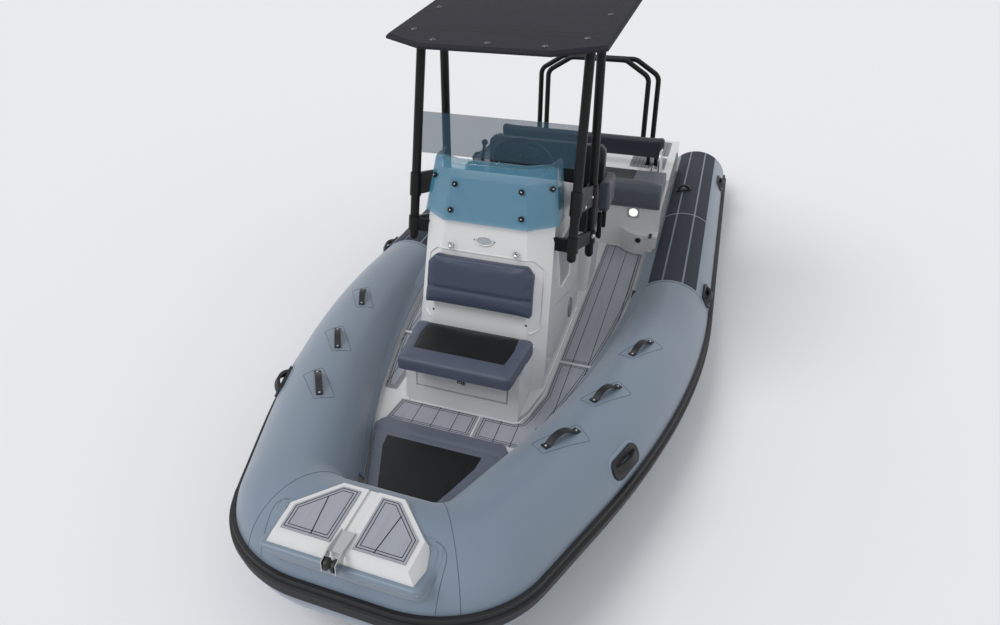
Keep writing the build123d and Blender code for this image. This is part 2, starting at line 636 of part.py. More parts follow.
LATCH_Z = 478.0
LATCH_R = 15.0
latch_face_x = HINGE_X + DOOR_THICK / 2 - DOOR_LEAN * (LATCH_Z - HINGE_Z) / (DOOR_BOTTOM + DOOR_HEIGHT - HINGE_Z)
with BuildPart() as door_latch:
    with BuildSketch(Plane(origin=(latch_face_x + 0.9, 0, LATCH_Z), x_dir=(0, 1, 0), z_dir=(1, 0, 0))):
        Circle(LATCH_R)
    extrude(amount=6)
save(door_latch, "door_latch")

# ---- console seat ------------------------------------------------------------
CUSHION_FRONT_X = 897.0
CUSHION_TOP = 668.0
with BuildPart() as front_cushion:
    with BuildSketch(Plane.XY.offset(SEAT_BOX_TOP + SEAT_GAP)):
        Polygon(*mirrored(((CUSHION_FRONT_X, 305), (500, 340))), align=None)
    extrude(amount=CUSHION_TOP - SEAT_BOX_TOP - SEAT_GAP)
    fillet(front_cushion.edges().filter_by(Axis.Z), 30)
save(front_cushion, "front_cushion")


def console_face_x(height):
    """Where the console's flat front stands at a height."""
    low, shoulder = CONSOLE_SECTIONS[0], CONSOLE_SECTIONS[1]
    return low[1] + (shoulder[1] - low[1]) * (height - low[0]) / (shoulder[0] - low[0])


BACK_LOW_Z = 752.0
BACK_HEIGHT = 285.0
BACK_HALF = 306.0
BACK_THICK = 62.0
face_lean = atan((CONSOLE_SECTIONS[0][1] - CONSOLE_SECTIONS[1][1]) / (CONSOLE_SHOULDER_Z - DECK_Z))
face_plane = Plane(origin=(console_face_x(BACK_LOW_Z), 0, BACK_LOW_Z), x_dir=(0, 1, 0),
                   z_dir=(cos(face_lean), 0, sin(face_lean)))
with BuildPart() as front_backrest:
    with BuildSketch(face_plane.offset(SEAT_GAP)):
        Polygon((-BACK_HALF, 0), (BACK_HALF, 0), (BACK_HALF - 4, BACK_HEIGHT - 46), (BACK_HALF - 46, BACK_HEIGHT),
                (46 - BACK_HALF, BACK_HEIGHT), (4 - BACK_HALF, BACK_HEIGHT - 46), align=None)
    extrude(amount=BACK_THICK)
save(front_backrest, "front_backrest")

HOOK_Y = 180.0
HOOK_UP = 318.0
with BuildPart() as console_hooks:
    for side in (-1, 1):
        hook = Plane(face_plane.offset(0.3).from_local_coords((side * HOOK_Y, HOOK_UP, 0)), x_dir=(0, 1, 0),
                     z_dir=face_plane.z_dir)
        with BuildSketch(hook):
            RectangleRounded(22, 40, 8)
        extrude(amount=4)
        with BuildSketch(hook.offset(4)):
            Circle(6)
        extrude(amount=22)
save(console_hooks, "console_hooks")

VENT_UP = 372.0
with BuildPart() as console_vent:
    with BuildSketch(Plane(face_plane.offset(0.3).from_local_coords((0, VENT_UP, 0)), x_dir=(0, 1, 0),
                           z_dir=face_plane.z_dir)):
        Ellipse(46, 24)
    extrude(amount=5)
save(console_vent, "console_vent")

# ---- windscreen --------------------------------------------------------------
SCREEN_THICK = 6.0
SCREEN_OFFSET = 17.0
SCREEN_LOW_Z = 1208.0
SCREEN_TOP_Z = 1500.0
# height, front x and half width, corner x, side half width, rear x of the outer face
SCREEN_SECTIONS = (
    (SCREEN_LOW_Z, 357.0, 231.0, 247.0, 372.0, 117.0),
    (SCREEN_TOP_Z, 272.0, 200.0, 179.0, 334.0, 49.0),
)


def screen_solid(inset):
    """Solid under the windscreen's outer or inner face."""
    with BuildPart(mode=Mode.PRIVATE) as solid:
        for height, front_x, front_half, corner_x, side_half, rear_x in SCREEN_SECTIONS:
            with BuildSketch(Plane.XY.offset(height)):
                Polygon(*mirrored(((front_x - inset, front_half - inset / 3),
                                   (corner_x - inset / 2, side_half - inset), (rear_x, side_half - inset))),
                        align=None)
        loft(ruled=True)
    return solid.part


# stand-offs that carry the screen: height, then the share of the way round the
# corner, from the centreline of the front (0) to its edge (1) and on to the
# side's edge (2)
STANDOFFS = ((1398.0, 0.86), (1264.0, 0.86), (1402.0, 1.82))
STANDOFF_R = 11.0
STANDOFF_HEAD = 8.0
STANDOFF_SHANK_R = 5.0
STANDOFF_REACH = 46.0


def screen_point(height, way, side):
    """Point of the screen's outer face at a height and a way round the corner."""
    low, top = SCREEN_SECTIONS
    share = (height - low[0]) / (top[0] - low[0])
    front_x, front_half, corner_x, side_half = [a + (b - a) * share for a, b in zip(low[1:5], top[1:5])]
    if way <= 1:
        return Vector(front_x, side * front_half * way, height)
    share = way - 1
    return Vector(front_x + (corner_x - front_x) * share, side * (front_half + (side_half - front_half) * share),
                  height)


def standoff_plane(height, way, side):
    """Plane on the screen's outer face at a stand-off, facing out."""
    origin = screen_point(height, way, side)
    across = screen_point(height, way + 0.1, side) - origin
    rise = screen_point(height + 10, way, side) - origin
    return Plane(origin=origin, x_dir=across, z_dir=across.cross(rise) * side)


with BuildPart() as windscreen:
    add(screen_solid(0) - screen_solid(SCREEN_THICK))
    for height, way in STANDOFFS:
        for side in (-1, 1):
            with BuildSketch(standoff_plane(height, way, side)):
                Circle(STANDOFF_SHANK_R + SEAT_GAP)
            extrude(amount=2 * SCREEN_THICK, both=True, mode=Mode.SUBTRACT)
save(windscreen, "windscreen")

with BuildPart() as windscreen_bolts:
    for height, way in STANDOFFS:
        for side in (-1, 1):
            face = standoff_plane(height, way, side)
            with BuildSketch(face.offset(SEAT_GAP)):
                Circle(STANDOFF_R)
            extrude(amount=STANDOFF_HEAD)
            with BuildSketch(face.offset(-STANDOFF_REACH)):
                Circle(STANDOFF_SHANK_R)
            extrude(amount=STANDOFF_REACH + SEAT_GAP)
            with BuildSketch(face.offset(-STANDOFF_REACH)):
                Circle(STANDOFF_R - 2)
            extrude(amount=STANDOFF_REACH - SCREEN_THICK - 2)
    add(console.part, mode=Mode.SUBTRACT)
save(windscreen_bolts, "windscreen_bolts")

# ---- T-top -------------------------------------------------------------------
LEG_SPARE = 90.0          # of each leg past its head, cut off flush with the roof
roof_plane = Plane(origin=(ROOF_FRONT[0], 0, ROOF_FRONT[1]),
                   x_dir=(-cos(radians(ROOF_SLOPE)), 0, sin(radians(ROOF_SLOPE))),
                   z_dir=(sin(radians(ROOF_SLOPE)), 0, cos(radians(ROOF_SLOPE))))


def leg(foot, head, side):
    """One leg from its (x, z) foot past its head, with a domed foot."""
    start = Vector(foot[0], side * LEG_Y, foot[1])
    end = Vector(head[0], side * LEG_Y, head[1])
    with BuildSketch(Plane(origin=start, z_dir=end - start)) as ring:
        Circle(LEG_D / 2)
    extrude(ring.sketch, amount=(end - start).length + LEG_SPARE)
    with Locations(start):
        Sphere(LEG_D / 2)


with BuildPart() as ttop_front_legs:
    for side in (-1, 1):
        leg(*FRONT_LEG, side)
    split(bisect_by=roof_plane, keep=Keep.BOTTOM)
save(ttop_front_legs, "ttop_front_legs")

with BuildPart() as ttop_rear_legs:
    for side in (-1, 1):
        leg(*REAR_LEG, side)
    split(bisect_by=roof_plane, keep=Keep.BOTTOM)
save(ttop_rear_legs, "ttop_rear_legs")

# plan of the roof plate: distance aft of the leading edge and half width
ROOF_OUTLINE = ((0.0, 326.0), (140.0, 560.0), (1580.0, 592.0), (ROOF_LENGTH, 500.0))
with BuildPart() as hardtop:
    with BuildSketch(roof_plane):
        Polygon(*mirrored(ROOF_OUTLINE), align=None)
    extrude(amount=ROOF_THICK)
    chamfer(hardtop.faces().sort_by(SortBy.AREA)[-2:].sort_by(Axis.Z)[-1].edges(), length=14)
save(hardtop, "hardtop")


def leg_x(line, height):
    """Where a leg's axis stands at a height."""
    (foot_x, foot_z), (head_x, head_z) = line
    return foot_x + (head_x - foot_x) * (height - foot_z) / (head_z - foot_z)


# Plates between both legs: depth and thickness, height of the middle at the
# front leg and at the rear leg. A cross plate joins the front leg to the console.
LINKS = ((80.0, 20.0, 1112.0, 912.0), (130.0, 20.0, 1330.0, 1180.0))
CLAMP_R = LEG_D / 2 + 7
CROSS_Z = (1072.0, 1146.0)
CROSS_THICK = 16.0
CROSS_INNER = CONSOLE_TOP_HALF - 20
with BuildPart() as ttop_brackets:
    for depth, thick, front_z, rear_z in LINKS:
        front_x = leg_x(FRONT_LEG, front_z)
        rear_x = leg_x(REAR_LEG, rear_z)
        with BuildSketch(Plane.XZ.offset(-LEG_Y)):
            Polygon((front_x, front_z - depth / 2), (front_x, front_z + depth / 2), (rear_x, rear_z + depth / 2),
                    (rear_x, rear_z - depth / 2), align=None)
        extrude(amount=thick / 2, both=True)
        for line, height in ((FRONT_LEG, front_z), (REAR_LEG, rear_z)):
            along = Vector(line[1][0] - line[0][0], 0, line[1][1] - line[0][1]).normalized()
            foot = height - depth / 2
            with BuildSketch(Plane(origin=(leg_x(line, foot), LEG_Y, foot), z_dir=along)):
                Circle(CLAMP_R)
            extrude(amount=depth)
    cross_x = leg_x(FRONT_LEG, CROSS_Z[0])
    with Locations((cross_x, (CROSS_INNER + LEG_Y) / 2, sum(CROSS_Z) / 2)):
        Box(CROSS_THICK, LEG_Y - CROSS_INNER, CROSS_Z[1] - CROSS_Z[0])
    for (foot_x, foot_z), (head_x, head_z) in (FRONT_LEG, REAR_LEG):
        start = Vector(foot_x, LEG_Y, foot_z)
        end = Vector(head_x, LEG_Y, head_z)
        with BuildSketch(Plane(origin=start, z_dir=end - start)):
            Circle(LEG_D / 2 + 0.1)
        extrude(amount=(end - start).length, mode=Mode.SUBTRACT)
    mirror(about=Plane.XZ)
    add(console.part, mode=Mode.SUBTRACT)
save(ttop_brackets, "ttop_brackets")

# flat screen between the front legs
UPPER_SCREEN_Z = (SCREEN_TOP_Z + 8, 1726.0)
UPPER_SCREEN_HALF = LEG_Y - LEG_D / 2 - SEAT_GAP
with BuildPart() as upper_screen:
    with BuildSketch(Plane.XZ.offset(-(UPPER_SCREEN_HALF))):
        low_x = leg_x(FRONT_LEG, UPPER_SCREEN_Z[0])
        top_x = leg_x(FRONT_LEG, UPPER_SCREEN_Z[1])
        Polygon((low_x, UPPER_SCREEN_Z[0]), (low_x + SCREEN_THICK, UPPER_SCREEN_Z[0]),
                (top_x + SCREEN_THICK, UPPER_SCREEN_Z[1]), (top_x, UPPER_SCREEN_Z[1]), align=None)
    extrude(amount=2 * (UPPER_SCREEN_HALF))
save(upper_screen, "upper_screen")

# ---- steering wheel ----------------------------------------------------------
WHEEL_R = 175.0
WHEEL_RIM_R = 15.0
WHEEL_TILT = 28.0
WHEEL_STANDOFF = 130.0
SHAFT_R = 11.0
SHAFT_TIP = 15.0          # of the shaft above the dash
BEZEL_R = 46.0
BEZEL_TOP = 45.0
dash_low = CONSOLE_SECTIONS[1]
dash_top = CONSOLE_SECTIONS[2]
dash_slope = atan((dash_top[0] - dash_low[0]) / (dash_top[5] - dash_low[5]))
DASH_UP = 110.0           # of the wheel's shaft along the dash
dash_plane = Plane(origin=(dash_low[5], 0, dash_low[0]), x_dir=(0, 1, 0),
                   z_dir=(-sin(dash_slope), 0, cos(dash_slope)))
wheel_axis = Vector(-cos(radians(WHEEL_TILT)), 0, sin(radians(WHEEL_TILT)))
shaft_foot = Vector(*dash_plane.from_local_coords((0, -DASH_UP, 0)))
WHEEL_HUB_R = 34.0
WHEEL_HUB_LENGTH = 30.0
hub_centre = shaft_foot + wheel_axis * WHEEL_STANDOFF
hub_plane = Plane(origin=hub_centre, x_dir=(0, 1, 0), z_dir=wheel_axis)
SPOKE_COUNT = 3
SPOKE_WIDTH = 30.0
SPOKE_THICK = 8.0

with BuildPart() as steering_wheel:
    with BuildSketch(hub_plane.offset(-WHEEL_HUB_LENGTH / 2)):
        Circle(WHEEL_HUB_R)
    extrude(amount=WHEEL_HUB_LENGTH)
    with BuildSketch(hub_plane.offset(-SPOKE_THICK / 2)):
        with PolarLocations(WHEEL_R / 2, SPOKE_COUNT, start_angle=90):
            Rectangle(WHEEL_R, SPOKE_WIDTH)
    extrude(amount=SPOKE_THICK)
    with BuildSketch(hub_plane.offset(SHAFT_TIP - WHEEL_STANDOFF)):
        Circle(SHAFT_R)
    extrude(amount=WHEEL_STANDOFF - SHAFT_TIP)
    with Locations(hub_plane.location):
        Torus(WHEEL_R, WHEEL_RIM_R)
save(steering_wheel, "steering_wheel")

with BuildPart() as helm_bezel:
    with BuildSketch(hub_plane.offset(-WHEEL_STANDOFF - BEZEL_R)):
        Circle(BEZEL_R)
    extrude(amount=BEZEL_R + BEZEL_TOP)
    with BuildSketch(hub_plane.offset(-WHEEL_STANDOFF)):
        Circle(SHAFT_R + 0.06)
    extrude(amount=BEZEL_TOP, mode=Mode.SUBTRACT)
    split(bisect_by=dash_plane.offset(SEAT_GAP), keep=Keep.TOP)
save(helm_bezel, "helm_bezel")

THROTTLE_Y = -250.0
THROTTLE_UP = 175.0
with BuildPart() as throttle:
    base = Plane(origin=dash_plane.from_local_coords((THROTTLE_Y, -THROTTLE_UP, 0.4)), x_dir=(0, 1, 0),
                 z_dir=dash_plane.z_dir)
    with BuildSketch(base):
        RectangleRounded(70, 110, 16)
    extrude(amount=58)
    fillet(throttle.faces().sort_by(SortBy.AREA)[-2:].sort_by(Axis.Z)[-1].edges(), 12)
    with BuildSketch(Plane(base.from_local_coords((35, 0, 34)), x_dir=base.z_dir, z_dir=(0, 1, 0))):
        SlotOverall(150, 20, align=(Align.MIN, Align.CENTER))
    extrude(amount=14)
    with Locations(base.from_local_coords((42, 0, 178))):
        Sphere(19)
save(throttle, "throttle")

# ---- helm seat ---------------------------------------------------------------
HELM_CUSHION_TOP = 905.0
HELM_BACK_TOP = 1240.0
HELM_BACK_THICK = 78.0
with BuildPart() as helm_base:
    for height, spread in ((DECK_Z, 0.0), (HELM_BASE_TOP, 22.0)):
        with BuildSketch(Plane.XY.offset(height)):
            with Locations(((HELM_FRONT_X + HELM_REAR_X) / 2, 0)):
                Rectangle(HELM_FRONT_X - HELM_REAR_X - 30 + spread, 2 * HELM_HALF - 40 + 2 * spread)
    loft(ruled=True)
    fillet(helm_base.edges().filter_by(lambda e: abs((e % 0.5).Z) > 0.9), 36)
save(helm_base, "helm_base")

with BuildPart() as helm_cushion:
    with BuildSketch(Plane.XY.offset(HELM_BASE_TOP + SEAT_GAP)):
        with Locations(((HELM_FRONT_X + HELM_REAR_X) / 2 + 6, 0)):
            RectangleRounded(HELM_FRONT_X - HELM_REAR_X + 20, 2 * HELM_HALF + 16, 50)
    extrude(amount=HELM_CUSHION_TOP - HELM_BASE_TOP - SEAT_GAP)
save(helm_cushion, "helm_cushion")

with BuildPart() as helm_backrest:
    with BuildSketch(Plane(origin=(HELM_REAR_X + HELM_BACK_THICK, 0, HELM_CUSHION_TOP + SEAT_GAP),
                           x_dir=(0, -1, 0), z_dir=(-1, 0, 0))):
        with Locations((0, (HELM_BACK_TOP - HELM_CUSHION_TOP) / 2)):
            RectangleRounded(2 * HELM_HALF + 18, HELM_BACK_TOP - HELM_CUSHION_TOP - SEAT_GAP, 56)
    extrude(amount=HELM_BACK_THICK)
save(helm_backrest, "helm_backrest")

# black posts at the seat's sides, and padded bolsters above them
HELM_POST_X = (-735.0, -915.0)
HELM_POST_R = 15.0
HELM_POST_Z = (712.0, 880.0)
HELM_SIDE_Y = HELM_HALF + 30
with BuildPart() as helm_posts:
    for x in HELM_POST_X:
        with Locations((x, HELM_SIDE_Y, sum(HELM_POST_Z) / 2)):
            Cylinder(HELM_POST_R, HELM_POST_Z[1] - HELM_POST_Z[0])
        with Locations((x, HELM_SIDE_Y, HELM_POST_Z[0])):
            Sphere(HELM_POST_R)
        lug = HELM_SIDE_Y - HELM_HALF + 2
        with Locations((x, HELM_SIDE_Y - lug / 2, HELM_BASE_TOP - 16)):
            Box(24, lug, 26)
    add(helm_base.part, mode=Mode.SUBTRACT)
    mirror(about=Plane.XZ)
save(helm_posts, "helm_posts")

BOLSTER_X = (-990.0, -712.0)
BOLSTER_Z = (HELM_POST_Z[1] + SEAT_GAP, 1092.0)
with BuildPart() as helm_bolsters:
    with BuildSketch(Plane.XZ.offset(-(HELM_HALF + 18))):
        with Locations((sum(BOLSTER_X) / 2, sum(BOLSTER_Z) / 2)):
            RectangleRounded(BOLSTER_X[1] - BOLSTER_X[0], BOLSTER_Z[1] - BOLSTER_Z[0], 46)
    extrude(amount=-56)
    mirror(about=Plane.XZ)
save(helm_bolsters, "helm_bolsters")

# ---- aft bench ---------------------------------------------------------------
with BuildPart() as aft_bench:
    with BuildSketch(Plane.XY.offset(DECK_Z)):
        with Locations((BENCH_FRONT_X, 0)):
            Rectangle(BENCH_FRONT_X - BENCH_REAR_X, 2 * TUBE_Y, align=(Align.MAX, Align.CENTER))
    extrude(amount=BENCH_TOP - DECK_Z)
    with BuildSketch(Plane.XY.offset(DECK_Z)):
        Polygon((BENCH_FRONT_X, 490), (TOE_X - 66, 520), (TOE_X - 28, 560), (TOE_X, 612), (TOE_X, TUBE_Y),
                (BENCH_FRONT_X, TUBE_Y), align=None)
        mirror(about=Plane.XZ)
    extrude(amount=TOE_TOP - DECK_Z)
    cut_collar(TUBE_R + HULL_GAP)
    add(deck_liner.part, mode=Mode.SUBTRACT)
    with Locations(((BENCH_FRONT_X + BENCH_REAR_X) / 2, 0, BENCH_TOP)):
        Box(2 * (BENCH_FRONT_X - BENCH_REAR_X), 2 * COCKPIT_HALF, 2 * (BENCH_TOP - DECK_Z), mode=Mode.INTERSECT)
save(aft_bench, "aft_bench")

BENCH_CUSHION_FRONT = -1462.0
BENCH_CUSHION_REAR = -1990.0
BENCH_ROLL_DEPTH = 150.0
BENCH_ROLL_TOP = 806.0
BENCH_SEAT_TOP = 742.0
BENCH_ROLL_LOW = 640.0
with BuildPart() as bench_cushion:
    with BuildSketch(Plane.XZ.offset(-COCKPIT_HALF + 4)):
        Polygon((BENCH_CUSHION_REAR, BENCH_TOP + SEAT_GAP), (BENCH_FRONT_X, BENCH_TOP + SEAT_GAP),
                (BENCH_CUSHION_FRONT, BENCH_ROLL_LOW), (BENCH_CUSHION_FRONT, BENCH_ROLL_TOP - 40),
                (BENCH_CUSHION_FRONT - 40, BENCH_ROLL_TOP), (BENCH_CUSHION_FRONT - 110, BENCH_ROLL_TOP),
                (BENCH_CUSHION_FRONT - BENCH_ROLL_DEPTH, BENCH_SEAT_TOP), (BENCH_CUSHION_REAR, BENCH_SEAT_TOP),
                align=None)
    extrude(amount=2 * (COCKPIT_HALF - 4))
save(bench_cushion, "bench_cushion")

# ---- stern deck and motor well -----------------------------------------------
STERN_TOP = 648.0
STERN_FLARE = 60.0
well_front_x = TRANSOM_X + TRANSOM_THICK + WELL_LENGTH
with BuildPart() as stern_deck:
    with BuildSketch(Plane.XY.offset(SOLE_BOTTOM + SEAT_GAP)):
        Polygon(*mirrored(((BENCH_REAR_X - SEAT_GAP, TUBE_Y), (TRANSOM_X, TUBE_Y))), align=None)
        Polygon(*mirrored(((well_front_x, WELL_WIDTH / 2), (TRANSOM_X - 10, WELL_WIDTH / 2))), align=None,
                mode=Mode.SUBTRACT)
    extrude(amount=STERN_TOP - SOLE_BOTTOM - SEAT_GAP)
    cut_collar(TUBE_R + HULL_GAP)
    add(deck_liner.part, mode=Mode.SUBTRACT)
    with Locations(((BENCH_REAR_X + TRANSOM_X) / 2, 0, STERN_TOP)):
        Box(2 * (BENCH_REAR_X - TRANSOM_X), 2 * COCKPIT_HALF, 2 * (STERN_TOP - SOLE_BOTTOM), mode=Mode.INTERSECT)
save(stern_deck, "stern_deck")

AFT_BACK_X = -2290.0
AFT_BACK_HALF = 688.0
AFT_BACK_Z = (722.0, 905.0)
AFT_BACK_THICK = 64.0
AFT_POST_Y = (560.0, 622.0)
AFT_POST_R = 15.0
with BuildPart() as aft_backrest:
    with BuildSketch(Plane(origin=(AFT_BACK_X, 0, sum(AFT_BACK_Z) / 2), x_dir=(0, -1, 0), z_dir=(-1, 0, 0))):
        RectangleRounded(2 * AFT_BACK_HALF, AFT_BACK_Z[1] - AFT_BACK_Z[0], 26)
    extrude(amount=AFT_BACK_THICK)
save(aft_backrest, "aft_backrest")

with BuildPart() as backrest_posts:
    post_x = AFT_BACK_X - AFT_BACK_THICK - AFT_POST_R - SEAT_GAP
    post_low = STERN_TOP + SEAT_GAP
    for y in AFT_POST_Y:
        for side in (-1, 1):
            with Locations((post_x, side * y, (post_low + AFT_BACK_Z[1] - 30) / 2)):
                Cylinder(AFT_POST_R, AFT_BACK_Z[1] - 30 - post_low)
    for side in (-1, 1):
        with Locations((post_x, side * sum(AFT_POST_Y) / 2, post_low + 4)):
            Box(56, 120, 8)
save(backrest_posts, "backrest_posts")

# ---- bench fittings ----------------------------------------------------------
LAMP_Y = 567.0
LAMP_Z = 582.0
DRAIN_Y = 628.0
DRAIN_Z = 412.0
with BuildPart() as bench_lamp:
    with BuildSketch(Plane(origin=(BENCH_FRONT_X + SEAT_GAP, LAMP_Y, LAMP_Z), x_dir=(0, 1, 0), z_dir=(1, 0, 0))):
        RectangleRounded(62, 62, 10)
    extrude(amount=4)
    with BuildSketch(Plane(origin=(BENCH_FRONT_X + SEAT_GAP + 4, LAMP_Y, LAMP_Z), x_dir=(0, 1, 0), z_dir=(1, 0, 0))):
        Circle(24)
    extrude(amount=7)
save(bench_lamp, "bench_lamp")

with BuildPart() as bench_drain:
    with BuildSketch(Plane(origin=(TOE_X + SEAT_GAP, DRAIN_Y, DRAIN_Z), x_dir=(0, 1, 0), z_dir=(1, 0, 0))):
        Circle(24)
        Circle(17, mode=Mode.SUBTRACT)
    extrude(amount=5)
save(bench_drain, "bench_drain")

# ---- stern fittings ----------------------------------------------------------
CLEAT_X = -2150.0
CLEAT_Y = 612.0
with BuildPart() as stern_cleats:
    with Locations((CLEAT_X, CLEAT_Y, STERN_TOP + SEAT_GAP + 3)):
        Box(96, 34, 6)
    for offset in (-26, 26):
        with Locations((CLEAT_X + offset, CLEAT_Y, STERN_TOP + SEAT_GAP + 20)):
            Cylinder(8, 34)
    with Locations(Location((CLEAT_X, CLEAT_Y, STERN_TOP + SEAT_GAP + 40), (0, 90, 0))):
        Cylinder(9, 170)
    mirror(about=Plane.XZ)
save(stern_cleats, "stern_cleats")

RAIL_X = (-2085.0, -2255.0)
RAIL_INSET = 88.0
RAIL_TOP = 846.0
RAIL_R = 11.0
RAIL_BEND = 70.0
with BuildPart() as stern_rails:
    rail_low = STERN_TOP + SEAT_GAP
    with BuildLine() as rail_path:
        FilletPolyline((RAIL_X[0], COCKPIT_HALF - RAIL_INSET, rail_low),
                       (RAIL_X[0], COCKPIT_HALF - RAIL_INSET, RAIL_TOP),
                       (RAIL_X[1], COCKPIT_HALF - RAIL_INSET, RAIL_TOP),
                       (RAIL_X[1], COCKPIT_HALF - RAIL_INSET, rail_low), radius=RAIL_BEND)
    with BuildSketch(Plane(origin=rail_path.line @ 0, z_dir=rail_path.line % 0)):
        Circle(RAIL_R)
    sweep(path=rail_path.line)
    for x in RAIL_X:
        with Locations((x, COCKPIT_HALF - RAIL_INSET, rail_low + 3)):
            Cylinder(24, 6)
    mirror(about=Plane.XZ)
save(stern_rails, "stern_rails")

# ---- roll bar ----------------------------------------------------------------
# x of each hoop and half width of its legs
HOOPS = ((-2962.0, 446.0), (-3022.0, 524.0))
BAR_BEND = 90.0
KNEE_Z = 1236.0
CROWN_INSET = 205.0
CROWN_Z = 1372.0
with BuildPart() as roll_bar:
    for x, leg_y in HOOPS:
        bar_low = STERN_TOP + SEAT_GAP
        with BuildLine() as hoop:
            FilletPolyline((x, leg_y, bar_low), (x, leg_y, KNEE_Z), (x, leg_y - CROWN_INSET, CROWN_Z),
                           (x, CROWN_INSET - leg_y, CROWN_Z), (x, -leg_y, KNEE_Z), (x, -leg_y, bar_low),
                           radius=BAR_BEND)
        with BuildSketch(Plane(origin=hoop.line @ 0, z_dir=hoop.line % 0)):
            Circle(BAR_D / 2)
        sweep(path=hoop.line)
        for side in (-1, 1):
            with Locations((x, side * leg_y, bar_low + 4)):
                Cylinder(42, 8)
    with Locations((sum(h[0] for h in HOOPS) / 2, 0, CROWN_Z)):
        for y in (-170, 170):
            with Locations((0, y, 0)):
                Box(abs(HOOPS[1][0] - HOOPS[0][0]), 40, 12)
save(roll_bar, "roll_bar")

# ---- small fittings on the hull ----------------------------------------------
EYE_Y = 450.0
EYE_Z = 60.0
EYE_REACH = 28.0          # of the ring's middle behind the transom
EYE_BORE_R = 15.0
EYE_BAR = 11.0
with BuildPart() as tow_eyes:
    for y in (-EYE_Y, EYE_Y):
        with Locations((TRANSOM_X - 4 - SEAT_GAP, y, EYE_Z)):
            Box(8, 46, 46)
        with BuildSketch(Plane.XY.offset(EYE_Z)):
            with Locations((TRANSOM_X - EYE_REACH - SEAT_GAP, y)):
                Circle(EYE_BORE_R + EYE_BAR)
                Circle(EYE_BORE_R, mode=Mode.SUBTRACT)
        extrude(amount=5, both=True)
save(tow_eyes, "tow_eyes")
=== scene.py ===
"""Finishes, soft goods and small fittings of an open rigid inflatable boat.

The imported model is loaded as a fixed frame. Everything here is in metres in
that frame: +X to the bow, +Y to port, +Z up, with the waterline at z = 0.
"""
import functools
import logging
import math
from dataclasses import dataclass, field
from enum import Enum
from typing import Callable, Iterable, Sequence

import bmesh
import bpy
import numpy as np
from mathutils import Matrix, Vector
from mathutils.bvhtree import BVHTree

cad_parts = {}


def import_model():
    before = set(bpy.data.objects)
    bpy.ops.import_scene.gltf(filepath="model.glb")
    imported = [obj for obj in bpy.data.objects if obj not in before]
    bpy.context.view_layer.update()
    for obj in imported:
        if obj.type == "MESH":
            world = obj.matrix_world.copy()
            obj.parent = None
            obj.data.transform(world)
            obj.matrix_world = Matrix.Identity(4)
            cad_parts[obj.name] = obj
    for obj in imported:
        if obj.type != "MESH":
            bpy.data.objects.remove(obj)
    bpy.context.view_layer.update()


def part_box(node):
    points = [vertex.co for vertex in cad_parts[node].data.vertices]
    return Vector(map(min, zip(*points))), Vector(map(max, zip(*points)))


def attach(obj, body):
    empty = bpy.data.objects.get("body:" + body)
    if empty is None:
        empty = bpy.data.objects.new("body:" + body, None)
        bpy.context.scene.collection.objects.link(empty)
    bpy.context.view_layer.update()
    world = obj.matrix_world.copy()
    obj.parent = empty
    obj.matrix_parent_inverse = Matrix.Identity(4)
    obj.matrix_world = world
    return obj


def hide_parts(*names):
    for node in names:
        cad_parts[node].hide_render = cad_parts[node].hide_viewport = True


LOG = logging.getLogger("boat")

Colour = tuple[float, float, float, float]
Point2 = tuple[float, float]
Point3 = tuple[float, float, float]
Outline = tuple[Point2, ...]
Station = tuple[Vector, Vector, Vector]

UP = Vector((0, 0, 1))
PORT = Vector((0, 1, 0))
BLACK_LINE: Colour = (0.012, 0.013, 0.015, 1.0)
SEAM_SHADE: Colour = (0.004, 0.004, 0.005, 1.0)


def linear(level: int) -> float:
    """Linear share of a display level given as 0 to 255."""
    share = level / 255
    return share / 12.92 if share <= 0.04045 else ((share + 0.055) / 1.055) ** 2.4


def srgb(red: int, green: int, blue: int) -> Colour:
    """Linear colour of a display colour given as 0 to 255."""
    return linear(red), linear(green), linear(blue), 1.0


class Slot(Enum):
    """Material slots of the record."""
    COLLAR = "collar_fabric"
    RUBBER = "black_rubber"
    WHITE = "gelcoat_white"
    SOLE = "sole_eva"
    STEEL = "stainless"
    BLACK_METAL = "black_metal"
    ROOF = "roof_charcoal"
    SCREEN = "screen_blue"
    SEAT_DARK = "seat_dark"
    SEAT_BLUE = "seat_blue"
    BLACK_PLASTIC = "black_plastic"
    PALE_PLASTIC = "pale_plastic"
    LENS = "lamp_lens"


class Body(Enum):
    """Bodies that pieces ride on."""
    BOAT = "boat"
    DOOR = "locker_door"
    WHEEL = "steering_wheel"


# ---- shaders -----------------------------------------------------------------
def operator(operation: str, turned: bool = False) -> "Callable[[Term, Term | float], Term]":
    """Method that feeds a math node with a Term and another value.

    Args:
        operation: what the node does.
        turned: whether the other value comes first.

    Returns:
        The method.
    """
    def method(term: "Term", other: "Term | float") -> "Term":
        """Result of the node."""
        return term.shader.math(operation, *((other, term) if turned else (term, other)))
    return method


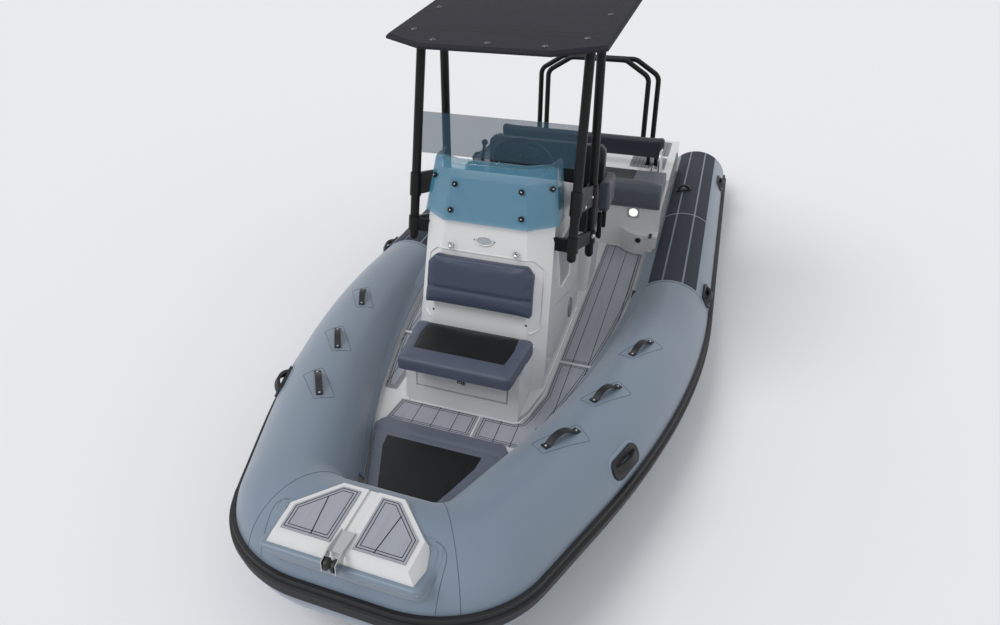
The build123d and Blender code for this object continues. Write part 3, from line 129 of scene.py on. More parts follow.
class Term:
    """A shader value that Python's operators work on. A comparison gives 1 or 0."""

    def __init__(self, shader: "NodeTree", socket: bpy.types.NodeSocket) -> None:
        """Wrap a node's output socket."""
        self.shader = shader
        self.socket = socket

    __add__, __radd__ = operator("ADD"), operator("ADD", turned=True)
    __sub__, __rsub__ = operator("SUBTRACT"), operator("SUBTRACT", turned=True)
    __mul__, __rmul__ = operator("MULTIPLY"), operator("MULTIPLY", turned=True)
    __gt__, __lt__ = operator("GREATER_THAN"), operator("LESS_THAN")
    # the smaller and the larger of two values
    least, most = operator("MINIMUM"), operator("MAXIMUM")

    def __abs__(self) -> "Term":
        """Size without its sign."""
        return self.shader.math("ABSOLUTE", self)

    def repeated(self, period: float) -> "Term":
        """Distance to the nearest whole multiple of a period."""
        return self.shader.math("PINGPONG", self, period / 2)


class NodeTree:
    """A node tree under construction."""

    def __init__(self, tree: bpy.types.NodeTree) -> None:
        """Empty the tree."""
        self.tree = tree
        self.tree.nodes.clear()

    def node(self, kind: str, settings: dict | None = None, inputs: dict | None = None) -> bpy.types.Node:
        """Add a node.

        Args:
            kind: the node's type.
            settings: attributes, set first; "stops" holds a ramp's positions and colours.
            inputs: values, Terms or sockets by input name or number.

        Returns:
            The new node.
        """
        node = self.tree.nodes.new(kind)
        for name, value in (settings or {}).items():
            if name == "stops":
                for number, (position, colour) in enumerate(value):
                    stops = node.color_ramp.elements
                    stop = stops[number] if number < len(stops) else stops.new(position)
                    stop.position = position
                    stop.color = colour
            else:
                setattr(node, name, value)
        for key, value in (inputs or {}).items():
            self.feed(node.inputs[key], value)
        return node

    def feed(self, socket: bpy.types.NodeSocket, value: object) -> None:
        """Give an input a value, or link a Term or socket to it.

        Args:
            socket: the input.
            value: what it takes.
        """
        source = value.socket if isinstance(value, Term) else value
        if isinstance(source, bpy.types.NodeSocket):
            self.tree.links.new(source, socket)
        else:
            socket.default_value = source

    def math(self, operation: str, *values: "Term | float") -> Term:
        """Math node on values and Terms."""
        node = self.node("ShaderNodeMath", {"operation": operation}, dict(enumerate(values)))
        return Term(self, node.outputs[0])

    def mix(self, factor: "Term | float", first: object, second: object) -> bpy.types.NodeSocket:
        """Colour mix, from the first at 0 to the second at 1."""
        node = self.node("ShaderNodeMix", {"data_type": "RGBA"}, {0: factor, 6: first, 7: second})
        return node.outputs[2]


class Shader(NodeTree):
    """The node tree of one material."""

    def __init__(self, name: str) -> None:
        """Start a material with a Principled surface.

        Args:
            name: name of the material.
        """
        self.material = bpy.data.materials.new(name)
        self.material.use_nodes = True
        super().__init__(self.material.node_tree)
        self.surface = self.node("ShaderNodeBsdfPrincipled")
        self.node("ShaderNodeOutputMaterial", inputs={"Surface": self.surface.outputs["BSDF"]})

    def set(self, values: dict[str, object]) -> None:
        """Feed inputs of the surface by name."""
        for name, value in values.items():
            self.feed(self.surface.inputs[name], value)

    def place(self) -> bpy.types.NodeSocket:
        """Position in the boat's own frame."""
        return self.node("ShaderNodeTexCoord").outputs["Object"]

    def axes(self) -> tuple[Term, Term, Term]:
        """x, y and z of the position."""
        node = self.node("ShaderNodeSeparateXYZ", inputs={0: self.place()})
        return Term(self, node.outputs[0]), Term(self, node.outputs[1]), Term(self, node.outputs[2])

    def noise(self, scale: float, detail: float = 3.0, stretch: Point3 = (1, 1, 1)) -> Term:
        """Noise of a scale in cycles per metre, stretched along the axes.

        Args:
            scale: cycles per metre.
            detail: octaves of finer noise.
            stretch: share of the scale along each axis.

        Returns:
            The noise, from 0 to 1.
        """
        mapping = self.node("ShaderNodeMapping", inputs={"Vector": self.place(), "Scale": stretch})
        node = self.node("ShaderNodeTexNoise", inputs={"Vector": mapping.outputs[0], "Scale": scale,
                                                      "Detail": detail})
        return Term(self, node.outputs[0])

    def cells(self, scale: float) -> Term:
        """Distance to the nearest of scattered cell centres, as in leather grain."""
        node = self.node("ShaderNodeTexVoronoi", inputs={"Vector": self.place(), "Scale": scale})
        return Term(self, node.outputs["Distance"])

    def bump(self, height: Term, depth: float) -> None:
        """Feed the surface's normal with a relief of a depth in metres."""
        node = self.node("ShaderNodeBump", inputs={"Height": height, "Distance": depth, "Strength": 1.0})
        self.set({"Normal": node.outputs[0]})


@dataclass(frozen=True)
class Finish:
    """A surface whose colour drifts a little and whose grain catches the light."""
    name: str
    colour: Colour
    roughness: float = 0.4
    metallic: float = 0.0
    coat: float = 0.0
    sheen: float = 0.0
    shine: float = 0.5
    # drift of the colour, as a share of it, and its scale in cycles per metre
    drift: float = 0.12
    drift_scale: float = 3.0
    wear: float = 0.08
    grain_scale: float = 500.0
    grain_depth: float = 0.0002

    def drifted(self, shader: Shader, noise: Term) -> bpy.types.NodeSocket:
        """The colour, darker where a noise is low and lighter where it is high."""
        dark, light = (tuple(min(1.0, c * (1 + way)) for c in self.colour[:3]) + (1.0,)
                       for way in (-self.drift, self.drift))
        return shader.mix(noise, dark, light)

    def tint(self, shader: Shader) -> bpy.types.NodeSocket:
        """Colour over the surface."""
        return self.drifted(shader, shader.noise(self.drift_scale, 4.0))

    def relief(self, shader: Shader) -> Term:
        """Height over the surface, from 0 to 1."""
        return shader.noise(self.grain_scale, 2.0)

    def gloss(self, shader: Shader) -> Term | float:
        """Roughness over the surface."""
        return self.roughness + self.wear * (shader.noise(self.drift_scale * 5, 5.0) - 0.5)

    def set_surface(self, shader: Shader) -> None:
        """Set the sockets that are the same all over."""
        shader.set({"Metallic": self.metallic, "Specular IOR Level": self.shine, "Coat Weight": self.coat,
                    "Coat Roughness": 0.08, "Sheen Weight": self.sheen, "Sheen Roughness": 0.45})

    def make(self) -> bpy.types.Material:
        """Build the material.

        Returns:
            The material.
        """
        shader = Shader(self.name)
        shader.set({"Base Color": self.tint(shader), "Roughness": self.gloss(shader)})
        self.set_surface(shader)
        shader.bump(self.relief(shader), self.grain_depth)
        return shader.material


@dataclass(frozen=True)
class Vinyl(Finish):
    """Coated upholstery with a pebbled leather grain."""
    roughness: float = 0.42
    sheen: float = 0.06
    shine: float = 0.3
    grain_scale: float = 420.0
    grain_depth: float = 0.0003

    def relief(self, shader: Shader) -> Term:
        """Pebbles with finer noise between them."""
        return shader.cells(self.grain_scale) + 0.4 * shader.noise(self.grain_scale * 2, 2.0)


@dataclass(frozen=True)
class InsetVinyl(Vinyl):
    """Upholstery with a panel of another colour inside a convex outline in plan."""
    inset: Colour = (0.01, 0.01, 0.012, 1.0)
    outline: Outline = ()
    min_z: float = -10.0
    seam: float = 0.004

    def depth_inside(self, shader: Shader) -> Term:
        """Distance inside the outline, below zero outside it.

        Args:
            shader: the material's nodes.

        Returns:
            The distance in metres.
        """
        x, y, z = shader.axes()
        inside = z - self.min_z
        for (ax, ay), (bx, by) in zip(self.outline, self.outline[1:] + self.outline[:1]):
            length = math.hypot(bx - ax, by - ay)
            nx, ny = (ay - by) / length, (bx - ax) / length
            inside = inside.least(nx * x + ny * y - (nx * ax + ny * ay))
        return inside

    def tint(self, shader: Shader) -> bpy.types.NodeSocket:
        """Outer colour, inset colour and the dark seam between them.

        Args:
            shader: the material's nodes.

        Returns:
            The colour.
        """
        inside = self.depth_inside(shader)
        cloth = shader.mix(inside > 0.0, Finish.tint(self, shader), self.inset)
        return shader.mix(abs(inside) < self.seam / 2, cloth, SEAM_SHADE)

    def relief(self, shader: Shader) -> Term:
        """Leather grain with the seam sunk between the panels."""
        sunk = (abs(self.depth_inside(shader)) < self.seam) * -4.0
        return Vinyl.relief(self, shader) + sunk


@dataclass(frozen=True)
class Decking(Finish):
    """Brushed foam decking with sawn plank lines along the boat."""
    roughness: float = 0.75
    grain_scale: float = 900.0
    lines: tuple[float, ...] = ()
    line_width: float = 0.0038

    def line_mask(self, shader: Shader) -> Term | float:
        """1 on the plank lines.

        Args:
            shader: the material's nodes.

        Returns:
            The mask.
        """
        y = shader.axes()[1]
        mask: Term | float = 0.0
        for line in self.lines:
            mask = (abs(y - line) < self.line_width / 2).most(mask)
        return mask

    def tint(self, shader: Shader) -> bpy.types.NodeSocket:
        """Grey foam, brushed along the planks, with dark lines."""
        brushed = self.drifted(shader, shader.noise(60.0, 3.0, (0.08, 1.0, 1.0)))
        return shader.mix(self.line_mask(shader), brushed, BLACK_LINE)

    def relief(self, shader: Shader) -> Term:
        """Brushed foam with the lines sunk in."""
        return shader.noise(220.0, 3.0, (0.1, 1.0, 1.0)) - 3.0 * self.line_mask(shader)


@dataclass(frozen=True)
class SoleDecking(Decking):
    """Decking whose forward mats have their own plank lines."""
    front_lines: tuple[float, ...] = ()
    front_x: float = 0.752

    def line_mask(self, shader: Shader) -> Term | float:
        """1 on the plank lines of either group.

        Args:
            shader: the material's nodes.

        Returns:
            The mask.
        """
        x, y, _ = shader.axes()
        fore = x > self.front_x
        mask = Decking.line_mask(self, shader) * (1.0 - fore)
        for line in self.front_lines:
            mask = mask.most((abs(y - line) < self.line_width / 2) * fore)
        return mask


@dataclass(frozen=True)
class Ribbed(Finish):
    """Moulded rubber with fine ribs running along its height."""
    rib: float = 0.009

    def relief(self, shader: Shader) -> Term:
        """Ribs by height with grain between them."""
        z = shader.axes()[2]
        return (z.repeated(self.rib) * (2 / self.rib)) + 0.3 * shader.noise(self.grain_scale, 2.0)


@dataclass(frozen=True)
class Studded(Finish):
    """Anti-slip sheet with small moulded studs."""
    stud: float = 0.006

    def relief(self, shader: Shader) -> Term:
        """Studs on a square grid.

        Args:
            shader: the material's nodes.

        Returns:
            The height.
        """
        x, y, _ = shader.axes()
        across = (x + y).repeated(self.stud).most((x - y).repeated(self.stud))
        return across * (2 / self.stud)


@dataclass(frozen=True)
class Acrylic(Finish):
    """Tinted see-through sheet."""
    opacity: float = 0.7
    roughness: float = 0.05

    def set_surface(self, shader: Shader) -> None:
        """Glossy sheet that lets some of what is behind it show.

        Args:
            shader: the material's nodes.
        """
        Finish.set_surface(self, shader)
        shader.set({"Alpha": self.opacity, "IOR": 1.49})
        shader.material.blend_method = "BLEND"


@dataclass(frozen=True)
class Glow(Finish):
    """Lamp lens that shines a little."""
    strength: float = 0.8

    def set_surface(self, shader: Shader) -> None:
        """Add the light that the lens gives off."""
        Finish.set_surface(self, shader)
        shader.set({"Emission Color": (1.0, 0.98, 0.94, 1.0), "Emission Strength": self.strength})


COLLAR_FABRIC = Finish("collar_fabric", srgb(112, 126, 141), roughness=0.38, sheen=0.25, drift=0.05,
                       drift_scale=1.4, grain_scale=1500.0, grain_depth=0.00012)
PALE_FABRIC = Finish("pale_fabric", srgb(134, 150, 166), roughness=0.5, drift=0.04, grain_scale=1500.0)
SEAM_LINE = Finish("seam_line", srgb(62, 72, 88), roughness=0.6, drift=0.05)
STRAKE_RUBBER = Ribbed("strake_rubber", srgb(20, 20, 22), roughness=0.52, drift=0.2)
BLACK_RUBBER = Finish("black_rubber", srgb(22, 22, 24), roughness=0.5, drift=0.2, grain_depth=0.0003)
PAD_RUBBER = Studded("antislip_rubber", srgb(44, 48, 60), roughness=0.7, shine=0.35, drift=0.1)
WHITE_GELCOAT = Finish("white_gelcoat", srgb(208, 209, 209), roughness=0.2, coat=0.5, drift=0.02,
                       wear=0.05, grain_scale=14.0, grain_depth=0.0004)
GREY_GELCOAT = Finish("grey_gelcoat", srgb(96, 102, 112), roughness=0.22, coat=0.5, drift=0.03,
                      grain_scale=14.0, grain_depth=0.0004)
SIDE_DECKING = SoleDecking("side_decking", srgb(150, 153, 162),
                           lines=(0.466, 0.557, 0.647, -0.466, -0.557, -0.647),
                           front_lines=(0.23, 0.32, 0.41, 0.0, -0.105, -0.21))
STEP_DECKING = Decking("step_decking", srgb(150, 153, 162))
STERN_DECKING = Decking("stern_decking", srgb(128, 131, 139), line_width=0.004,
                        lines=tuple(side * (0.455 + 0.03 * k) for k in range(8) for side in (-1, 1)))
DECK_BORDER = Finish("deck_border", srgb(24, 25, 27), roughness=0.8, drift=0.1)
POLISHED_STEEL = Finish("polished_steel", srgb(196, 198, 200), roughness=0.16, metallic=1.0, drift=0.03,
                        wear=0.1, grain_scale=60.0, grain_depth=0.0001)
BLACK_PAINT = Finish("black_powder_coat", srgb(12, 12, 14), roughness=0.40, shine=0.25, drift=0.15,
                     grain_scale=900.0, grain_depth=0.0002)
ROOF_PAINT = Finish("charcoal_paint", srgb(40, 38, 46), roughness=0.62, shine=0.12, drift=0.08,
                    grain_scale=800.0, grain_depth=0.0002)
SCREEN_ACRYLIC = Acrylic("blue_acrylic", srgb(70, 138, 168), opacity=0.47, drift=0.04, coat=0.6)
SMOKED_ACRYLIC = Acrylic("smoked_blue_acrylic", srgb(40, 74, 92), opacity=0.42, shine=0.2, drift=0.04, coat=0.4)
SCREEN_EDGE = Acrylic("acrylic_edge", srgb(96, 148, 168), opacity=0.45, drift=0.04, coat=0.5)
DARK_GLASS = Finish("dark_glass", srgb(10, 12, 15), roughness=0.08, coat=1.0, drift=0.05, wear=0.02,
                    grain_depth=0.0)
DARK_STEEL = Finish("dark_steel", srgb(96, 96, 104), roughness=0.2, metallic=0.9, drift=0.08, grain_depth=0.0)
# painted shade: near-black lines that stand for the shade in the roof's pressed creases
ROOF_CREASE_SHADE = Finish("painted_crease_shade", srgb(20, 19, 24), roughness=0.6, drift=0.08)
# painted shade: darker white for the panels and lines on the console's sides, which are white gelcoat
SHADED_GELCOAT = Finish("shaded_gelcoat", srgb(150, 152, 153), roughness=0.3, coat=0.3, drift=0.03,
                        grain_scale=14.0, grain_depth=0.0004)
SCREW_GREY = Finish("screw_grey", srgb(128, 132, 138), roughness=0.35, metallic=0.6, drift=0.05)
DARK_VINYL = Vinyl("dark_vinyl", srgb(27, 30, 34), drift=0.06)
BOLSTER_VINYL = Vinyl("bolster_vinyl", srgb(62, 66, 75), drift=0.06)
AFT_VINYL = Vinyl("aft_vinyl", srgb(42, 46, 54), drift=0.06)
BLUE_VINYL = Vinyl("blue_grey_vinyl", srgb(60, 69, 87), drift=0.06)
BLACK_PLASTIC = Finish("black_plastic", srgb(18, 18, 20), roughness=0.38, shine=0.3, drift=0.12)
PALE_PLASTIC = Finish("pale_plastic", srgb(168, 172, 176), roughness=0.4, drift=0.05)
LAMP_LENS = Glow("lamp_lens", srgb(240, 240, 236), roughness=0.1, coat=0.8)


@functools.cache
def material(finish: Finish) -> bpy.types.Material:
    """Material of a finish, built once."""
    return finish.make()


# ---- mesh making -------------------------------------------------------------
@dataclass
class Shape:
    """Vertices and faces under construction."""
    points: list[Vector] = field(default_factory=list)
    faces: list[tuple[int, ...]] = field(default_factory=list)

    def add(self, other: "Shape", place: Matrix | None = None) -> "Shape":
        """Join another shape to this one, moved by a matrix.

        Args:
            other: the shape that joins.
            place: the matrix, or None to leave it where it is.

        Returns:
            This shape.
        """
        start = len(self.points)
        self.points += [place @ p if place else p.copy() for p in other.points]
        self.faces += [tuple(start + i for i in face) for face in other.faces]
        return self

    def both_sides(self) -> "Shape":
        """Add the mirror image across the centreline.

        Returns:
            This shape.
        """
        start = len(self.points)
        self.points += [Vector((p.x, -p.y, p.z)) for p in self.points]
        self.faces += [tuple(start + i for i in reversed(face)) for face in self.faces]
        return self

    def cap(self, first: int, count: int) -> None:
        """Close a ring of points with one face."""
        self.faces.append(tuple(range(first, first + count)))

    def mesh(self, name: str) -> bpy.types.Mesh:
        """Blender mesh with outward faces.

        Args:
            name: name of the mesh.

        Returns:
            The mesh.
        """
        mesh = bpy.data.meshes.new(name)
        mesh.from_pydata([tuple(p) for p in self.points], [], self.faces)
        work = bmesh.new()
        work.from_mesh(mesh)
        bmesh.ops.remove_doubles(work, verts=work.verts, dist=1e-6)
        bmesh.ops.recalc_face_normals(work, faces=work.faces)
        work.to_mesh(mesh)
        work.free()
        return mesh


def grid(rows: Sequence[Sequence[Vector]], around: bool = False, closed: bool = False) -> Shape:
    """Faces between rows of points.

    Args:
        rows: rows with the same number of points.
        around: whether each row is a ring.
        closed: whether the last row meets the first.

    Returns:
        The shape.
    """
    shape = Shape([Vector(p) for row in rows for p in row])
    count = len(rows[0])
    for i in range(len(rows) if closed else len(rows) - 1):
        j = (i + 1) % len(rows)
        for k in range(count if around else count - 1):
            m = (k + 1) % count
            shape.faces.append((i * count + k, i * count + m, j * count + m, j * count + k))
    return shape


def band(loops: Sequence[Sequence[Vector]]) -> Shape:
    """Open strip between loops of points, each loop running the whole way round."""
    return grid([[loop[k] for loop in loops] for k in range(len(loops[0]))], closed=True)


def tube(path: Sequence[Vector], radius: float, sides: int = 12, closed: bool = False,
         flat: float = 1.0, up: Vector | None = None) -> Shape:
    """Round or oval tube along a path.

    Args:
        path: points of the centreline.
        radius: half the section's width.
        sides: points around.
        closed: whether the path is a loop.
        flat: height of the section over its width.
        up: direction in which the section's height lies at the start.

    Returns:
        The shape, capped unless it is a loop.
    """
    points = [Vector(p) for p in path]
    count = len(points)
    rings = []
    normal = up
    for i, point in enumerate(points):
        before = points[(i - 1) % count] if closed or i > 0 else point
        after = points[(i + 1) % count] if closed or i < count - 1 else point
        ahead = (after - before).normalized()
        if normal is None:
            normal = ahead.orthogonal()
        normal = (normal - ahead * normal.dot(ahead)).normalized()
        across = ahead.cross(normal)
        ring = []
        for k in range(sides):
            angle = 2 * math.pi * k / sides
            ring.append(point + (across * math.cos(angle) + normal * math.sin(angle) * flat) * radius)
        rings.append(ring)
    shape = grid(rings, around=True, closed=closed)
    if not closed:
        shape.cap(0, sides)
        shape.cap((count - 1) * sides, sides)
    return shape


def lathe(profile: Sequence[Point2], segments: int) -> Shape:
    """Turn a profile of (radius, height) points about Z, closed at radius 0."""
    turns = [2 * math.pi * k / segments for k in range(segments)]
    return grid([[Vector((radius * math.cos(turn), radius * math.sin(turn), height)) for turn in turns]
                 for radius, height in profile], around=True)


def level(outline: Iterable[Point2], z: float) -> list[Vector]:
    """Points of a plan outline at a height."""
    return [Vector((x, y, z)) for x, y in outline]


def mirrored(half: Sequence[Point2]) -> list[Point2]:
    """Outline from its port half; a point on the centreline stays single."""
    return [*half, *((x, -y) for x, y in reversed(half) if y)]


def rectangle(half_x: float, half_y: float) -> Outline:
    """Corners of a rectangle about the origin."""
    return (-half_x, -half_y), (half_x, -half_y), (half_x, half_y), (-half_x, half_y)


def prism(outline: Sequence[Point2], low: float, high: float) -> Shape:
    """Upright slab on an outline.

    Args:
        outline: corners in order.
        low: height of its underside.
        high: height of its top.

    Returns:
        The shape.
    """
    count = len(outline)
    shape = Shape([Vector((x, y, z)) for z in (low, high) for x, y in outline])
    shape.faces = [tuple(reversed(range(count))), tuple(range(count, 2 * count))]
    for k in range(count):
        m = (k + 1) % count
        shape.faces.append((k, m, count + m, count + k))
    return shape


def frame_at(origin: Sequence[float], normal: Sequence[float], ahead: Sequence[float] = (1, 0, 0)) -> Matrix:
    """Matrix whose Z is the normal and whose X points ahead.

    Args:
        origin: where the frame stands.
        normal: its Z direction.
        ahead: the direction that its X leans toward.

    Returns:
        The placing matrix.
    """
    z = Vector(normal).normalized()
    x = Vector(ahead)
    x = (x - z * x.dot(z)).normalized()
    y = z.cross(x)
    matrix = Matrix((x, y, z)).transposed().to_4x4()
    matrix.translation = Vector(origin)
    return matrix


def ellipse(frame: Matrix, half: Point2, lift: float, sides: int, rise: float = 0.0) -> list[Vector]:
    """Ring of points in a frame.

    Args:
        frame: the frame whose X and Y the ring lies along.
        half: the ring's half width and half height.
        lift: height of the ring over the frame.
        sides: points in the ring.
        rise: how far the ring's middle lies along Y.

    Returns:
        The points.
    """
    return [frame @ Vector((half[0] * math.cos(turn), rise + half[1] * math.sin(turn), lift))
            for turn in np.linspace(0, 2 * math.pi, sides + 1)[:-1]]


def arc(centre: Point2, radius: float, first: float, last: float, steps: int) -> list[Point2]:
    """Points of an arc, angles in degrees from X."""
    return [(centre[0] + radius * math.cos(math.radians(first + (last - first) * k / steps)),
             centre[1] + radius * math.sin(math.radians(first + (last - first) * k / steps)))
            for k in range(steps + 1)]


def rounded(outline: Sequence[Point2], radius: float, steps: int = 5) -> list[Point2]:
    """Outline with its corners rounded.

    Args:
        outline: corners in order.
        radius: radius of each corner.
        steps: segments in each corner.

    Returns:
        The rounded outline.
    """
    count = len(outline)
    result: list[Point2] = []
    for k in range(count):
        corner = Vector(outline[k])
        back = Vector(outline[k - 1]) - corner
        ahead = Vector(outline[(k + 1) % count]) - corner
        half = back.angle(ahead) / 2
        reach = min(radius / math.tan(half), back.length * 0.49, ahead.length * 0.49)
        start, end = corner + back.normalized() * reach, corner + ahead.normalized() * reach
        for step in range(steps + 1):
            t = step / steps
            point = start * (1 - t) ** 2 + corner * 2 * t * (1 - t) + end * t * t
            result.append((point.x, point.y))
    return result


def inset_loop(loop: Sequence[Vector], distance: float) -> list[Vector]:
    """Move a level loop inward by a distance, mitred at each point.

    Args:
        loop: points in order, at one height.
        distance: how far they move.

    Returns:
        The moved points.
    """
    count = len(loop)
    area = sum(loop[k].x * loop[(k + 1) % count].y - loop[(k + 1) % count].x * loop[k].y for k in range(count))
    turn = 1 if area > 0 else -1
    result = []
    for k in range(count):
        before, point, after = loop[k - 1], loop[k], loop[(k + 1) % count]
        first = Vector((before.y - point.y, point.x - before.x, 0)).normalized() * turn
        second = Vector((point.y - after.y, after.x - point.x, 0)).normalized() * turn
        normal = (first + second).normalized()
        result.append(point + normal * (distance / max(0.5, normal.dot(first))))
    return result


def top_loops(node: str) -> list[list[Vector]]:
    """Outlines of a node's upward faces at its highest level.

    Args:
        node: name of a CAD node with a level top.

    Returns:
        Closed loops of points, straight runs merged.
    """
    mesh = bpy.data.objects[node].data
    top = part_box(node)[1].z
    keys: dict[tuple[int, int], int] = {}
    spots: list[Vector] = []
    index: dict[int, int] = {}
    for vertex in mesh.vertices:
        key = (round(vertex.co.x * 1e4), round(vertex.co.y * 1e4))
        if abs(vertex.co.z - top) < 2e-4:
            if key not in keys:
                keys[key] = len(spots)
                spots.append(vertex.co.copy())
            index[vertex.index] = keys[key]
    edges: dict[tuple[int, int], None] = {}
    for face in mesh.polygons:
        if face.normal.z > 0.99 and all(v in index for v in face.vertices):
            ids = [index[v] for v in face.vertices]
            edges.update(dict.fromkeys(zip(ids, ids[1:] + ids[:1])))
    ahead = {a: b for a, b in edges if (b, a) not in edges}
    loops = []
    while ahead:
        start = next(iter(ahead))
        ids = [start]
        while ids[-1] in ahead:
            following = ahead.pop(ids[-1])
            if following == start:
                break
            ids.append(following)
        points = [spots[i] for i in ids]
        runs = [(p - points[k - 1]).normalized() for k, p in enumerate(points)]
        bends = [run.cross(onward).length for run, onward in zip(runs, runs[1:] + runs[:1])]
        loops.append([p for p, bend in zip(points, bends) if bend > 1e-3])
    return loops


def stand(name: str, data: bpy.types.ID) -> bpy.types.Object:
    """Put an object in the scene.

    Args:
        name: name of the object.
        data: its mesh, lamp or camera.

    Returns:
        The object.
    """
    item = bpy.data.objects.new(name, data)
    bpy.context.scene.collection.objects.link(item)
    return item


def make_piece(name: str, shape: Shape | bpy.types.Mesh, finish: Finish, body: Body = Body.BOAT,
               smooth: float | None = 35.0, replaces: Iterable[str] = (),
               bevel: float = 0.0) -> bpy.types.Object:
    """Make an object that rides on a body.

    Args:
        name: the piece's name.
        shape: what it is made of.
        finish: its surface.
        body: the body that carries it.
        smooth: angle in degrees under which edges are shaded smooth, or None for flat shading.
        replaces: CAD nodes that it stands for.
        bevel: width of the rounding of its sharp edges.

    Returns:
        The object.
    """
    mesh = shape.mesh(name) if isinstance(shape, Shape) else shape
    piece = stand(name, mesh)
    dress(piece, finish, smooth, bevel)
    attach(piece, body.value)
    if replaces:
        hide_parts(*replaces)
    LOG.info("piece %s: %d faces", name, len(mesh.polygons))
    return piece


def dress(piece: bpy.types.Object, finish: Finish, smooth: float | None = 35.0, bevel: float = 0.0) -> None:
    """Give an object its material, shading and softened edges.

    Args:
        piece: the object.
        finish: surface of the object.
        smooth: angle in degrees under which edges are shaded smooth, or None.
        bevel: width of the rounding of its sharp edges.
    """
    if piece.data.materials:
        for number in range(len(piece.data.materials)):
            piece.data.materials[number] = material(finish)
    else:
        piece.data.materials.append(material(finish))
    if smooth is not None:
        piece.data.shade_smooth()
        piece.data.set_sharp_from_angle(angle=math.radians(smooth))
    if bevel:
        rounding = piece.modifiers.new("edges", "BEVEL")
        rounding.width = bevel
        rounding.segments = 3
        rounding.limit_method = "ANGLE"
        rounding.angle_limit = math.radians(30)


def dress_nodes(finish: Finish, *nodes: str, smooth: float | None = 35.0, bevel: float = 0.0) -> None:
    """Give CAD nodes the same material, shading and softened edges."""
    for node in nodes:
        dress(bpy.data.objects[node], finish, smooth, bevel)


# ---- soft goods --------------------------------------------------------------
@dataclass(frozen=True)
class Groove:
    """A sewn channel across a cushion."""
    points: tuple[Point3, ...]
    depth: float = 0.006
    width: float = 0.010


